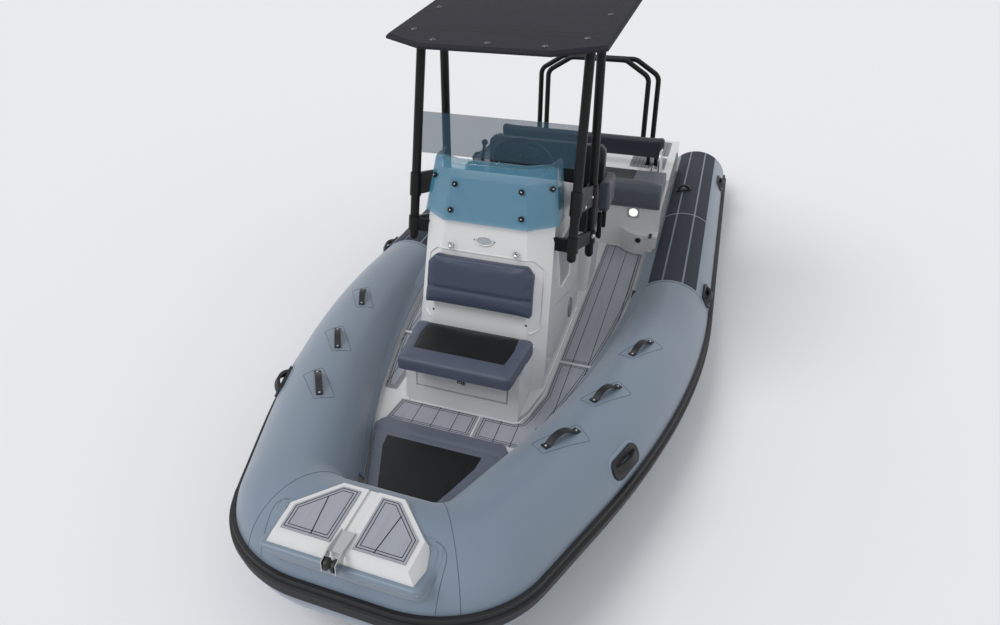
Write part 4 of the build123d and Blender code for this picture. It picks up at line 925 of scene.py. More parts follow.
@dataclass
class Cushion:
    """A foam cushion grown from the CAD node that it stands for.

    The base is remeshed evenly, its edges are rounded, its faces are swollen by
    air pressure in a cloth simulation, and its channels are sewn in afterwards.
    """
    node: str
    finish: Finish
    slot: Slot
    voxel: float = 0.012
    rounds: int = 6
    start_inset: float = 0.001
    swell: float = 0.010
    pressure: float = 5.0
    fill: float = 0.75
    grooves: tuple[Groove, ...] = ()
    # first and last x of the stretch over which the underside rises, and how far
    nose: Point3 | None = None
    frames: int = 20
    stiffness: float = 12.0

    @property
    def name(self) -> str:
        """Name of the finished cushion."""
        return self.node + "_cover"

    def even_mesh(self) -> bpy.types.Mesh:
        """Remesh the base and round its edges off.

        Returns:
            The even mesh.
        """
        mesh = node_shape(self.node).mesh(self.name)
        source = stand(self.name + "_base", mesh)
        remesh = source.modifiers.new("even", "REMESH")
        remesh.mode = "VOXEL"
        remesh.voxel_size = self.voxel
        soften = source.modifiers.new("soften", "SMOOTH")
        soften.iterations = self.rounds
        soften.factor = 0.5
        graph = bpy.context.evaluated_depsgraph_get()
        result = bpy.data.meshes.new_from_object(source.evaluated_get(graph))
        bpy.data.objects.remove(source)
        return result

    @staticmethod
    def coordinates(mesh: bpy.types.Mesh) -> tuple[np.ndarray, np.ndarray]:
        """Points and normals of a mesh as arrays.

        Args:
            mesh: the mesh.

        Returns:
            The points and the normals, a row for each vertex.
        """
        points = np.zeros(len(mesh.vertices) * 3)
        mesh.vertices.foreach_get("co", points)
        normals = np.zeros(len(mesh.vertices) * 3)
        mesh.vertex_normals.foreach_get("vector", normals)
        return points.reshape(-1, 3), normals.reshape(-1, 3)

    def simulate(self, mesh: bpy.types.Mesh) -> None:
        """Let air pressure swell the cushion, and keep each point near its start.

        Args:
            mesh: mesh of the cushion, which takes the swollen points.
        """
        start, normals = self.coordinates(mesh)
        shrunk = start - normals * self.start_inset
        mesh.vertices.foreach_set("co", shrunk.ravel())
        piece = stand(self.name + "_cloth", mesh)
        cloth = piece.modifiers.new("cloth", "CLOTH")
        cloth.settings.use_pressure = True
        cloth.settings.uniform_pressure_force = self.pressure
        cloth.settings.effector_weights.gravity = 0.0
        cloth.settings.quality = 4
        cloth.settings.tension_stiffness = self.stiffness
        cloth.settings.compression_stiffness = self.stiffness
        cloth.point_cache.frame_start = 1
        cloth.point_cache.frame_end = self.frames
        scene = bpy.context.scene
        for number in range(1, self.frames + 1):
            scene.frame_set(number)
        graph = bpy.context.evaluated_depsgraph_get()
        swollen = bpy.data.meshes.new_from_object(piece.evaluated_get(graph))
        moved, _ = self.coordinates(swollen)
        step = moved - shrunk
        length = np.linalg.norm(step, axis=1, keepdims=True)
        step *= np.minimum(1.0, self.swell / np.maximum(length, 1e-9))
        mesh.vertices.foreach_set("co", (shrunk + step).ravel())
        mesh.update()
        bpy.data.objects.remove(piece)
        bpy.data.meshes.remove(swollen)
        scene.frame_set(1)

    def sew(self, mesh: bpy.types.Mesh) -> None:
        """Press the channels in, and keep the underside flat.

        Args:
            mesh: mesh of the cushion, which takes the pressed points.
        """
        points, normals = self.coordinates(mesh)
        sunk = np.zeros(len(points))
        for groove in self.grooves:
            nearest = np.full(len(points), 1e9)
            for first, last in zip(groove.points, groove.points[1:]):
                a, b = np.array(first), np.array(last)
                run = b - a
                share = np.clip(((points - a) @ run) / (run @ run), 0, 1)[:, None]
                nearest = np.minimum(nearest, np.linalg.norm(points - (a + share * run), axis=1))
            sunk = np.maximum(sunk, groove.depth * np.exp(-(nearest / groove.width) ** 2))
        points = points - normals * sunk[:, None]
        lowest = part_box(self.node)[0].z
        if self.nose:
            first, last, rise = self.nose
            lowest = lowest + rise * np.clip((points[:, 0] - first) / (last - first), 0, 1)
        points[:, 2] = np.maximum(points[:, 2], lowest)
        mesh.vertices.foreach_set("co", points.ravel())
        mesh.update()

    def build(self) -> bpy.types.Object:
        """Make the cushion.

        Returns:
            The object.
        """
        mesh = self.even_mesh()
        self.simulate(mesh)
        self.sew(mesh)
        piece = make_piece(self.name, mesh, self.finish, smooth=180.0, replaces=(self.node,))
        finer = piece.modifiers.new("finer", "SUBSURF")
        finer.levels = finer.render_levels = 1
        return piece


def node_shape(name: str) -> Shape:
    """Copy of a CAD node's mesh as a shape."""
    mesh = bpy.data.objects[name].data
    return Shape([v.co.copy() for v in mesh.vertices], [tuple(p.vertices) for p in mesh.polygons])


class Skin:
    """Outer surface of some CAD nodes, for lines and patches that lie on it."""

    def __init__(self, *nodes: str) -> None:
        """Gather the faces of the nodes.

        Args:
            nodes: names of the CAD nodes.
        """
        shape = Shape()
        for node in nodes:
            shape.add(node_shape(node))
        self.tree = BVHTree.FromPolygons(shape.points, shape.faces)

    def find(self, start: Sequence[float], way: Sequence[float]) -> tuple[Vector, Vector] | None:
        """Where a ray from a point meets the surface, and the surface's normal toward it.

        Args:
            start: where the ray starts.
            way: its direction.

        Returns:
            The point and the unit normal, or None where the ray meets nothing.
        """
        ray = Vector(way).normalized()
        spot, normal, _, _ = self.tree.ray_cast(Vector(start), ray)
        if spot is None:
            return None
        return spot, -normal if normal.dot(ray) > 0 else normal

    def seat(self, shape: Shape, head: Shape, start: Sequence[float], way: Sequence[float]) -> None:
        """Add a head to a shape, standing where a ray meets the surface.

        Args:
            shape: the shape that gains the head.
            head: the head, standing on Z 0.
            start: where the ray starts.
            way: its direction.
        """
        found = self.find(start, way)
        if found:
            shape.add(head, frame_at(*found))

    def drape(self, corners: Sequence[Sequence[float]], way: Sequence[float], lift: float,
              step: float = 0.012, closed: bool = False) -> list[Vector]:
        """Points of a line that is thrown onto the surface.

        Args:
            corners: points above the surface, joined by straight runs.
            way: direction in which they fall.
            lift: height of the points above the surface.
            step: spacing of the points.
            closed: whether the last corner joins the first.

        Returns:
            The points on the surface.
        """
        ends = [Vector(c) for c in corners]
        if closed:
            ends.append(ends[0])
        path = []
        for first, last in zip(ends, ends[1:]):
            count = max(1, round((last - first).length / step))
            for k in range(count):
                found = self.find(first.lerp(last, k / count), way)
                if found:
                    path.append(found[0] + found[1] * lift)
        found = None if closed else self.find(ends[-1], way)
        if found:
            path.append(found[0] + found[1] * lift)
        return path


# ---- the inflatable collar ---------------------------------------------------
@dataclass
class Collar:
    """Tubes, seams, anti-slip pads and handles."""
    radius: float = 0.25
    half_spacing: float = 0.925
    axis_z: float = 0.18
    aft_x: float = -3.48
    bend_x: float = -0.79
    bend_run: float = 0.03
    sheer: float = math.radians(5.06)
    side_radius: float = 6.15
    side_turn: float = math.radians(19.2)
    corner_radius: float = 0.265
    bow_x: float = 1.84
    # seams are thin lines; their angles are in degrees from the crown toward outboard
    line_radius: float = 0.0011
    line_lift: float = 0.0003
    bow_seam: float = math.radians(60)
    bow_seam_arc: Point2 = (-62, 100)
    bend_seam_arc: Point2 = (-140, 80)
    # forward end and angle of each seam along the side
    long_seams: Outline = ((1.5, 79), (1.3, -140))
    # middle and heading of each strap handle, port side
    strap_seats: tuple[tuple[Point3, Point3], ...] = (
        ((1.1337, 0.6078, 0.6015), (0.8417, -0.5350, 0.0728)),
        ((0.6968, 0.7344, 0.5628), (0.8788, -0.4709, 0.0771)),
        ((0.1751, 0.8408, 0.5166), (0.9161, -0.3925, 0.0816)),
    )
    strap_patch: Outline = ((0.140, 0.030), (-0.112, 0.072), (-0.140, -0.030), (0.112, -0.072))
    strap_patch_corner: float = 0.012
    # polished studs at the feet of each strap handle stand in for the glints there
    stud_spread: float = 0.094
    glint_stud_profile: Outline = ((0.0, 0.0036), (0.003, 0.0034), (0.0055, 0.0022), (0.0065, 0.0),
                             (0.0, -0.001))
    # middle, normal and heading of each moulded handle, port side
    moulded_seats: tuple[tuple[Point3, Point3, Point3], ...] = (
        ((-3.02, 1.1418, 0.3052), (0.0, 0.8660, 0.5), (1.0, 0.0, 0.0)),
        ((-0.905, 1.1418, 0.3052), (0.0, 0.8660, 0.5), (1.0, 0.0, 0.0)),
        ((1.0294, 0.8798, 0.4667), (0.2008, 0.8304, 0.5197), (0.9551, -0.2839, 0.0846)),
    )
    moulded_patch: Point2 = (0.134, 0.060)
    # growth and height of the moulded patch's section, from its edge inward
    patch_section: Outline = ((0.0, 0.0), (0.0, 0.002), (-0.016, 0.0025), (-0.018, 0.0))
    # height over the fabric from which lines and studs are dropped onto it
    drop: float = 0.2
    flap_run: Point2 = (-1.36, 1.40)
    flap_ribs: int = 70
    flap_wall_z: float = 0.334
    flap_edge_z: float = 0.342
    flap_top_z: float = 0.372
    flap_thickness: float = 0.002
    flap_crown: float = 0.006
    flap_lap: float = 0.004
    # start and length of each webbing tail, port side
    tails: tuple[tuple[Point3, float], ...] = (((-0.76, 0.694, 0.340), 0.085), ((-1.425, 0.712, 0.458), 0.07))
    tail_radius: float = 0.011
    tail_wave: float = 0.006
    skin: Skin = field(default_factory=lambda: Skin("tube_port", "tube_starboard", "tube_bow"))

    def rise(self, u: float, v: float) -> Vector:
        """Point in the rising plane: u along it, v to port."""
        return Vector((self.bend_x + u * math.cos(self.sheer), v, self.axis_z + u * math.sin(self.sheer)))

    def direction(self, heading: float) -> Vector:
        """Unit vector in the rising plane at a plan heading from forward toward the centreline."""
        return Vector((math.cos(heading) * math.cos(self.sheer), -math.sin(heading),
                       math.cos(heading) * math.sin(self.sheer)))

    @property
    def up(self) -> Vector:
        """Normal of the rising plane."""
        return Vector((-math.sin(self.sheer), 0, math.cos(self.sheer)))

    def side_end(self) -> Point2:
        """Where the curved side turns straight, as (u, v)."""
        return (self.bend_run + self.side_radius * math.sin(self.side_turn),
                self.half_spacing - self.side_radius * (1 - math.cos(self.side_turn)))

    def station(self, x: float) -> Station:
        """Axis point, heading and up direction of the port side at a distance x forward.

        Args:
            x: position along the boat, up to the start of the bow corner.

        Returns:
            Point on the axis, unit vector forward along the tube, unit vector up.
        """
        if x <= self.bend_x:
            return Vector((x, self.half_spacing, self.axis_z)), Vector((1, 0, 0)), UP
        u = (x - self.bend_x) / math.cos(self.sheer)
        end_u, end_v = self.side_end()
        if u <= self.bend_run:
            v, heading = self.half_spacing, 0.0
        elif u <= end_u:
            heading = math.asin((u - self.bend_run) / self.side_radius)
            v = self.half_spacing - self.side_radius * (1 - math.cos(heading))
        else:
            heading = self.side_turn
            v = end_v - math.tan(heading) * (u - end_u)
        return self.rise(u, v), self.direction(heading), self.up

    def corner_station(self, heading: float) -> Station:
        """The same for the bow corner, at a plan heading in radians.

        Args:
            heading: direction of the tube in plan, 0 straight ahead.

        Returns:
            The point, the direction and the up vector.
        """
        end_u, end_v = self.side_end()
        centre_u = (self.bow_x - self.bend_x) / math.cos(self.sheer) - self.corner_radius
        centre_v = (end_v - math.tan(self.side_turn) * (centre_u - end_u)
                    - self.corner_radius / math.cos(self.side_turn))
        point = self.rise(centre_u + self.corner_radius * math.sin(heading),
                          centre_v + self.corner_radius * math.cos(heading))
        return point, self.direction(heading), self.up

    def on_skin(self, station: Station, angle: float) -> Vector:
        """Point of a seam on the fabric, its angle in degrees from the crown toward outboard.

        Args:
            station: place along the tube.
            angle: turn about the tube.

        Returns:
            The point.
        """
        point, ahead, up = station
        turn = math.radians(angle)
        way = up.cross(ahead) * math.sin(turn) + up * math.cos(turn)
        found = self.skin.find(point + way * (2 * self.radius), -way)
        reach = min(self.radius, (found[0] - point).dot(way)) if found else self.radius
        return point + way * (reach + self.line_lift)

    def line(self, points: Sequence[Vector], closed: bool = False) -> Shape:
        """Thin seam through points on the fabric."""
        return tube(points, self.line_radius, sides=6, closed=closed)

    def ring(self, station: Station, first: float, last: float, steps: int = 72) -> Shape:
        """Thin seam round the tube between two angles."""
        return self.line([self.on_skin(station, first + (last - first) * k / steps) for k in range(steps + 1)])

    def along(self, last_x: float, angle: float, steps: int = 90) -> Shape:
        """Thin seam along the tube from its cone, at an angle from the crown."""
        run = last_x - self.aft_x
        return self.line([self.on_skin(self.station(self.aft_x + run * k / steps), angle)
                          for k in range(steps + 1)])

    def seams(self) -> None:
        """Seams at the bow corners, the bend, the cones and along the tubes."""
        lines = Shape()
        lines.add(self.ring(self.corner_station(self.bow_seam), *self.bow_seam_arc))
        lines.add(self.ring(self.station(self.bend_x + 0.02), *self.bend_seam_arc))
        lines.add(self.ring(self.station(self.aft_x - 0.002), -180, 180))
        for last_x, angle in self.long_seams:
            lines.add(self.along(last_x, angle))
        for origin, heading in self.strap_seats:
            frame = frame_at(origin, self.up, heading)
            patch = level(rounded(self.strap_patch, self.strap_patch_corner, 3), 0.15)
            corners = [frame @ p for p in patch]
            lines.add(self.line(self.skin.drape(corners, -self.up, self.line_lift, closed=True), closed=True))
        make_piece("collar_seams", lines.both_sides(), SEAM_LINE)

    def moulded_patches(self) -> None:
        """Pale welded patches under the moulded handles."""
        length, width = self.moulded_patch
        outline = arc((length - width, 0), width, -90, 90, 14) + arc((width - length, 0), width, 90, 270, 14)
        shape = Shape()
        for origin, normal, heading in self.moulded_seats:
            frame = frame_at(origin, normal, heading)
            rows = []
            for grow, lift in self.patch_section:
                loop = [Vector((x, y, 0.0)) * (1 + grow / width) for x, y in outline]
                rows.append([self.lifted(frame @ (p + UP * self.drop), -Vector(normal), lift) for p in loop])
            shape.add(band(rows))
        make_piece("handle_patches", shape.both_sides(), PALE_FABRIC)

    def lifted(self, start: Vector, way: Vector, lift: float) -> Vector:
        """Point above the fabric under a start point."""
        found = self.skin.find(start, way)
        return found[0] + found[1] * lift if found else start

    def strap_studs(self) -> None:
        """Polished steel studs at the feet of the strap handles, which stand in for the glints there."""
        straps = Skin("strap_handles_port")
        head = lathe(self.glint_stud_profile, 18)
        shape = Shape()
        for origin, heading in self.strap_seats:
            frame = frame_at(origin, self.up, heading)
            for end in (-self.stud_spread, self.stud_spread):
                straps.seat(shape, head, frame @ Vector((end, 0.0, self.drop)), -self.up)
        # painted highlight: these studs stand in for the glints at the handles' feet
        make_piece("strap_studs", shape.both_sides(), POLISHED_STEEL)

    def flap_section(self, x: float, inner: float, outer: float) -> list[Vector]:
        """Section of the fabric flap.

        Args:
            x: position along the boat.
            inner: y of the inner moulding's wall.
            outer: y of the tube.

        Returns:
            The points round the section.
        """
        thick, lap, top = self.flap_thickness, self.flap_lap, self.flap_edge_z
        low = self.flap_wall_z - lap
        section = ((inner - 0.0004, low), (inner - thick, low), (inner - thick, top - 0.002),
                   (inner + 0.002, top + thick), (0.4 * inner + 0.6 * outer, top + thick + self.flap_crown),
                   (outer - 0.0008, self.flap_top_z), (outer + lap, self.flap_top_z),
                   (outer + lap, top + 0.0006), (inner - 0.0004, top + 0.0006))
        return [Vector((x, y, z)) for y, z in section]

    def coaming_flaps(self) -> None:
        """Fabric flaps that close the joint between the tubes and the inner moulding."""
        liner = Skin("deck_liner")
        rows = []
        for x in np.linspace(*self.flap_run, self.flap_ribs):
            wall = liner.find((x, 0.0, self.flap_wall_z), PORT)
            found = self.skin.find((x, 0.0, self.flap_top_z), PORT)
            if wall and found:
                rows.append(self.flap_section(x, wall[0].y, found[0].y))
        flap = grid(rows, around=True)
        count = len(rows[0])
        flap.cap(0, count)
        flap.cap((len(rows) - 1) * count, count)
        make_piece("coaming_flaps", flap.both_sides(), COLLAR_FABRIC, smooth=50.0)

    def webbing_tails(self) -> None:
        """Short black webbing tails at the foot of the tubes."""
        shape = Shape()
        for (x, y, z), length in self.tails:
            path = [Vector((x + length * k / 6, y, z + self.tail_wave * math.sin(k))) for k in range(7)]
            shape.add(tube(path, self.tail_radius, sides=10, flat=0.35, up=UP))
        make_piece("webbing_tails", shape.both_sides(), BLACK_RUBBER)

    def build(self) -> None:
        """Dress the collar."""
        dress_nodes(COLLAR_FABRIC, "tube_port", "tube_starboard", "tube_bow", smooth=50.0)
        dress_nodes(STRAKE_RUBBER, "rubbing_strake")
        dress_nodes(PAD_RUBBER, "antislip_port", "antislip_starboard", bevel=0.001)
        dress_nodes(BLACK_RUBBER, "strap_handles_port", "strap_handles_starboard", "side_handles_port",
                    "side_handles_starboard", "mooring_handles", bevel=0.0025)
        self.seams()
        self.moulded_patches()
        self.strap_studs()
        self.coaming_flaps()
        self.webbing_tails()


# ---- hull, sole and mats -----------------------------------------------------
@dataclass
class Decks:
    """Hull, inner moulding, mats and bow step."""
    collar: Collar
    sole_z: float = 0.30
    border_insets: tuple[float, ...] = (0.010, 0.022)
    border_width: float = 0.003
    border_lift: float = 0.0006
    # bead beside the console: its first and last corners only aim the ends
    bead_line: Outline = ((-0.462, 0.382), (0.47, 0.382), (0.672, 0.346), (0.748, 0.312),
                          (0.752, 0.110))
    bead_corner: float = 0.03
    bead_lift: float = 0.002
    bead_radius: float = 0.0065
    mat_split_x: float = 0.139
    cross_bead: Point2 = (0.386, 0.655)
    front_bead: Point2 = (0.765, 0.925)
    front_bead_y: float = 0.115
    plinth_half: Outline = ((-0.470, 0.376), (0.455, 0.376), (0.655, 0.338), (0.738, 0.302),
                            (0.744, 0.0))
    plinth_corner: float = 0.02
    plinth_height: float = 0.022
    # port half of the bow step's foot in plan
    step_foot: Outline = ((1.912, 0.322), (2.094, 0.314))
    step_low_z: float = 0.597
    patch_margin: float = 0.046
    gusset_corner: float = 0.02
    gusset_pitch: float = 0.02
    # how far outside the step's foot the gusset's hem, rim, edge, side and skirt stand
    gusset_reaches: tuple[float, ...] = (-0.016, 0.003, 0.010, 0.014, 0.026)
    gusset_from: float = 1.93
    gusset_run: float = 0.15
    gusset_side: float = 0.004
    gusset_drop: float = 0.045
    gusset_rise: float = 0.026
    tube_axis_x: float = 1.84
    tube_axis_z: float = 0.412
    step_line: tuple[Point2, Point2] = ((1.853, 0.154), (2.043, 0.128))
    step_line_width: float = 0.0044

    def borders(self, node: str) -> Shape:
        """Dark lines that follow each mat's outline.

        Args:
            node: name of the CAD node of the mats.

        Returns:
            The lines.
        """
        shape = Shape()
        lift = UP * self.border_lift
        for loop in top_loops(node):
            for distance in self.border_insets:
                outer = inset_loop(loop, distance - self.border_width / 2)
                inner = inset_loop(loop, distance + self.border_width / 2)
                shape.add(band([[p - lift for p in outer], [p + lift for p in outer], [p + lift for p in inner],
                                [p - lift for p in inner]]))
        return shape

    def beads(self) -> None:
        """White beads between the console and the mats, and across the gaps."""
        z = self.sole_z + self.bead_lift
        corner_points = 5
        line = rounded(self.bead_line, self.bead_corner, corner_points - 1)[corner_points:-corner_points]
        shape = Shape()
        shape.add(tube(level(line, z), self.bead_radius))
        shape.add(tube([Vector((self.mat_split_x, y, z)) for y in np.linspace(*self.cross_bead, 6)],
                       self.bead_radius))
        shape.both_sides()
        shape.add(tube([Vector((x, self.front_bead_y, z)) for x in np.linspace(*self.front_bead, 5)],
                       self.bead_radius))
        make_piece("sole_beads", shape, WHITE_GELCOAT)

    def plinth(self) -> None:
        """Moulded foot of the console and of its seat box."""
        outline = rounded(mirrored(self.plinth_half), self.plinth_corner, 3)
        make_piece("console_plinth", prism(outline, self.sole_z + 0.0005, self.sole_z + self.plinth_height),
                   WHITE_GELCOAT, bevel=0.006)

    def gusset_rib(self, point: Vector, spots: Sequence[Vector]) -> list[Vector]:
        """Section of the bow step's gusset.

        Args:
            point: point of the step's foot in plan.
            spots: the same point moved out to the hem, rim, edge, side and skirt.

        Returns:
            The points round the section, from the hem over the rim to the tube and back.
        """
        hem, rim, edge, side, skirt = spots
        crown = self.collar.skin.find((point.x, point.y, 1.0), -UP)
        foot = max(self.step_low_z, crown[0].z if crown else 0.0)
        share = min(1.0, max(0.0, (point.x - self.gusset_from) / self.gusset_run))
        high = foot + self.gusset_side + self.gusset_rise * share
        heart = Vector((min(skirt.x - 0.02, self.tube_axis_x), skirt.y * 0.7, self.tube_axis_z))
        low = Vector((skirt.x, skirt.y, foot - self.gusset_drop * share))
        found = self.collar.skin.find(heart + (low - heart) * 1.8, heart - low)
        spot, normal = found if found else (low, (low - heart).normalized())
        return [Vector((hem.x, hem.y, high)), Vector((rim.x, rim.y, high)),
                Vector((edge.x, edge.y, high - 0.004)), Vector((side.x, side.y, high - 0.012)),
                spot + normal * 0.002, spot - normal * 0.006, Vector((hem.x, hem.y, foot - 0.02))]

    def step_gusset(self) -> None:
        """Fabric gusset that beds the bow step on the tube."""
        loop = level(rounded(mirrored(self.step_foot), self.gusset_corner, 5), 0.0)
        dense = []
        for first, last in zip(loop, loop[1:] + loop[:1]):
            count = max(1, round((last - first).length / self.gusset_pitch))
            dense += [first.lerp(last, k / count) for k in range(count)]
        offsets = [inset_loop(dense, -reach) for reach in self.gusset_reaches]
        ribs = [self.gusset_rib(point, [loop[k] for loop in offsets]) for k, point in enumerate(dense)]
        make_piece("step_gusset", grid(ribs, around=True, closed=True), COLLAR_FABRIC, smooth=60.0)

    def step_patch(self) -> None:
        """Outline of the welded patch under the bow step."""
        grow = self.patch_margin
        (aft_x, aft_y), (front_x, front_y) = self.step_foot
        half = ((aft_x - grow * 0.4, aft_y + grow), (front_x + grow, front_y + grow))
        points = level(rounded(mirrored(half), 0.06, 8), 1.0)
        line = self.collar.line(self.collar.skin.drape(points, -UP, self.collar.line_lift))
        make_piece("step_patch_line", line, SEAM_LINE)

    def plank_lines(self) -> None:
        """Slanted plank line of each pad on the bow step."""
        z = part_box("bow_step_mats")[1].z
        half = self.step_line_width / 2
        (x0, y0), (x1, y1) = self.step_line
        line = prism(((x0, y0 - half), (x1, y1 - half), (x1, y1 + half), (x0, y0 + half)),
                     z - 0.0004, z + 0.0006)
        make_piece("step_plank_lines", line.both_sides(), DECK_BORDER, smooth=None)

    def build(self) -> None:
        """Dress the hull and the decks."""
        dress_nodes(GREY_GELCOAT, "hull", bevel=0.008)
        dress_nodes(WHITE_GELCOAT, "deck_liner", bevel=0.006)
        dress_nodes(SIDE_DECKING, "deck_mats")
        dress_nodes(WHITE_GELCOAT, "bow_step", bevel=0.010)
        dress_nodes(STEP_DECKING, "bow_step_mats")
        for node in ("deck_mats", "bow_step_mats"):
            make_piece(node + "_borders", self.borders(node), DECK_BORDER, smooth=None)
        dress_nodes(POLISHED_STEEL, "anchor_bracket", "tow_eyes", "stern_cleats", "stern_rails",
                    "console_hooks", "bench_drain", bevel=0.0008)
        dress_nodes(BLACK_RUBBER, "anchor_roller", bevel=0.001)
        self.beads()
        self.plinth()
        self.step_gusset()
        self.step_patch()
        self.plank_lines()


# ---- console -----------------------------------------------------------------
@dataclass
class Console:
    """Console, its locker, screens and helm."""
    face_origin: Point3 = (0.432067, 0.0, 0.752)
    face_normal: Point3 = (0.977323, 0.0, 0.211753)
    back_bead: Outline = ((0.330, -0.105), (0.322, 0.235), (0.262, 0.300), (-0.262, 0.300),
                          (-0.322, 0.235), (-0.330, -0.105))
    back_bead_corner: float = 0.05
    back_bead_radius: float = 0.006
    screws: Outline = ((0.262, -0.054), (-0.262, -0.054))
    screw_profile: Outline = ((0.0, 0.0028), (0.0035, 0.0026), (0.0055, 0.0012), (0.006, 0.0),
                              (0.0, -0.001))
    small_screw_profile: Outline = ((0.0, 0.002), (0.0025, 0.0018), (0.0038, 0.0), (0.0, -0.001))
    vent_up: float = 0.372
    vent_half: Point2 = (0.046, 0.024)
    vent_screw_gap: float = 0.011
    vent_rim_radius: float = 0.0042
    vent_slat_pitch: float = 0.0058
    vent_slat_radius: float = 0.0012
    hook_y: float = 0.18
    hook_up: float = 0.318
    hook_out: float = 0.024
    eye_half: Point2 = (0.013, 0.016)
    eye_rise: float = 0.012
    eye_bar_radius: float = 0.0034
    eye_boss_profile: Outline = ((0.0, 0.005), (0.005, 0.0045), (0.0085, 0.002), (0.009, -0.004),
                                 (0.0, -0.004))
    # outlines on the sides are (x, z); rays are dropped onto them from this y
    drop_y: float = 1.0
    side_recess: Outline = ((0.185, 1.060), (0.098, 0.757), (-0.168, 0.722), (-0.150, 1.060))
    recess_corners: Point2 = (0.028, 0.024)
    recess_rim_radius: float = 0.0075
    # share of the recess that the panel's middle and edge take up
    panel_shares: Point2 = (0.04, 0.97)
    panel_rings: int = 9
    panel_lift: float = 0.0012
    side_lines: tuple[tuple[Point2, Point2], ...] = (
        ((0.36, 0.600), (-0.08, 0.462)), ((0.33, 0.445), (0.02, 0.348)), ((0.37, 0.760), (-0.43, 0.509)),
        ((0.34, 0.905), (0.15, 0.845)), ((-0.17, 0.742), (-0.42, 0.664)),
    )
    side_line_radius: float = 0.0016
    side_vent: Point2 = (-0.222, 0.456)
    side_vent_half: Point2 = (0.062, 0.042)
    side_vent_plate: Point2 = (0.060, 0.040)
    side_vent_rim_radius: float = 0.0055
    side_slat_pitch: float = 0.0105
    side_slat_radius: float = 0.0038
    latch: Point3 = (0.742, 0.0, 0.478)
    latch_normal: Point3 = (0.998, 0, 0.055)
    latch_flange: Outline = ((0.0, -0.0012), (0.0165, -0.0012), (0.0225, -0.0018), (0.0240, -0.0034),
                             (0.0, -0.0034))
    # radius and height of each ring
    latch_rings: Outline = ((0.0205, -0.0012), (0.0128, 0.0002))
    latch_ring_radius: float = 0.0018
    latch_grip_reach: float = 0.0105
    latch_grip_lift: float = 0.0012
    latch_grip_radius: float = 0.0022
    # lower and upper end of the windscreen's front edge and of its corner, port side
    screen_front: tuple[Point3, Point3] = ((0.357, 0.231, 1.208), (0.272, 0.200, 1.500))
    screen_corner: tuple[Point3, Point3] = ((0.247, 0.372, 1.208), (0.179, 0.334, 1.500))
    # height and way round the corner of each bolt: 0 to 1 on the front, 1 to 2 on the corner
    bolt_steps: Outline = ((1.398, 0.86), (1.264, 0.86), (1.402, 1.82))
    knob_profile: Outline = ((0.0, 0.0050), (0.0060, 0.0050), (0.0125, 0.0036), (0.0155, 0.0),
                             (0.0155, -0.006), (0.0, -0.006))
    # polished dome that stands in for the glint on each black knob
    glint_cap_profile: Outline = ((0.0, 0.0082), (0.0022, 0.0079), (0.0040, 0.0064), (0.0046, 0.0045),
                            (0.0, 0.0045))
    screen_top: Outline = ((0.049, 0.334), (0.179, 0.334), (0.272, 0.200))
    lip_z: float = 1.4985
    lip_thickness: float = 0.004
    # way inward and up of each fold, and the share of it that each point of the edge takes
    lip_folds: Outline = ((0.0, 0.0), (0.008, 0.006), (0.030, 0.008), (0.058, 0.008))
    lip_shares: tuple[float, ...] = (0.25, 0.75, 1.0, 1.0, 0.75, 0.25)
    dash_middle: Point3 = (0.02, 0.0, 1.371)
    dash_normal: Point3 = (-0.384615, 0, 0.923077)
    dash_up: Point3 = (0.923077, 0, 0.384615)
    panel_half: Point2 = (0.085, 0.20)
    panel_top: float = 0.006
    display_half: Point2 = (0.058, 0.088)
    gauge_y: float = 0.135
    gauge_profile: Outline = ((0.0, 0.004), (0.030, 0.004), (0.034, 0.009), (0.038, 0.007),
                              (0.039, 0.0), (0.0, 0.0))
    wheel_middle: Point3 = (-0.403245, 0, 1.303339)
    wheel_axis: Point3 = (-0.882948, 0, 0.469472)
    wheel_radius: float = 0.175
    wheel_cap: Outline = ((0.0, 0.024), (0.012, 0.0235), (0.024, 0.021), (0.031, 0.016),
                          (0.0335, 0.0142), (0.0, 0.0140))
    # angles in degrees of the spokes, and of a seam to each side of one
    spokes: tuple[float, ...] = (30, 150, 270)
    seam_turn: float = 16
    seam_ring_radius: float = 0.0152
    seam_radius: float = 0.0014
    skin: Skin = field(default_factory=lambda: Skin("console"))

    def on_face(self, side: float, up: float, lift: float = 0.0) -> Vector:
        """Point over the console's raked front face.

        Args:
            side: distance to port.
            up: distance up the face.
            lift: height over the face.

        Returns:
            The point.
        """
        normal = Vector(self.face_normal)
        rise = Vector((-normal.z, 0, normal.x))
        return Vector(self.face_origin) + rise * up + normal * lift + Vector((0, side, 0))

    def on_side(self, points: Iterable[Point2], lift: float, step: float = 0.012,
                closed: bool = False) -> list[Vector]:
        """Line on the console's port side through (x, z) points."""
        return self.skin.drape([Vector((x, self.drop_y, z)) for x, z in points], -PORT, lift, step, closed)

    def backrest_bead(self) -> None:
        """Raised bead round the backrest's recess."""
        corners = rounded(self.back_bead, self.back_bead_corner, 6)
        path = self.skin.drape([Vector((1.4, y, self.on_face(0, up).z)) for y, up in corners], (-1, 0, 0), 0.0)
        make_piece("backrest_bead", tube(path, self.back_bead_radius, sides=10), WHITE_GELCOAT)

    def face_screws(self) -> None:
        """Black screws under the backrest, and the vent's two screws."""
        reach = self.vent_half[0] + self.vent_screw_gap
        small = ((-reach, self.vent_up), (reach, self.vent_up))
        shape = Shape()
        for profile, segments, spots in ((self.screw_profile, 16, self.screws),
                                         (self.small_screw_profile, 14, small)):
            head = lathe(profile, segments)
            for side, up in spots:
                shape.add(head, frame_at(self.on_face(side, up), self.face_normal))
        make_piece("console_screws", shape, BLACK_PLASTIC)

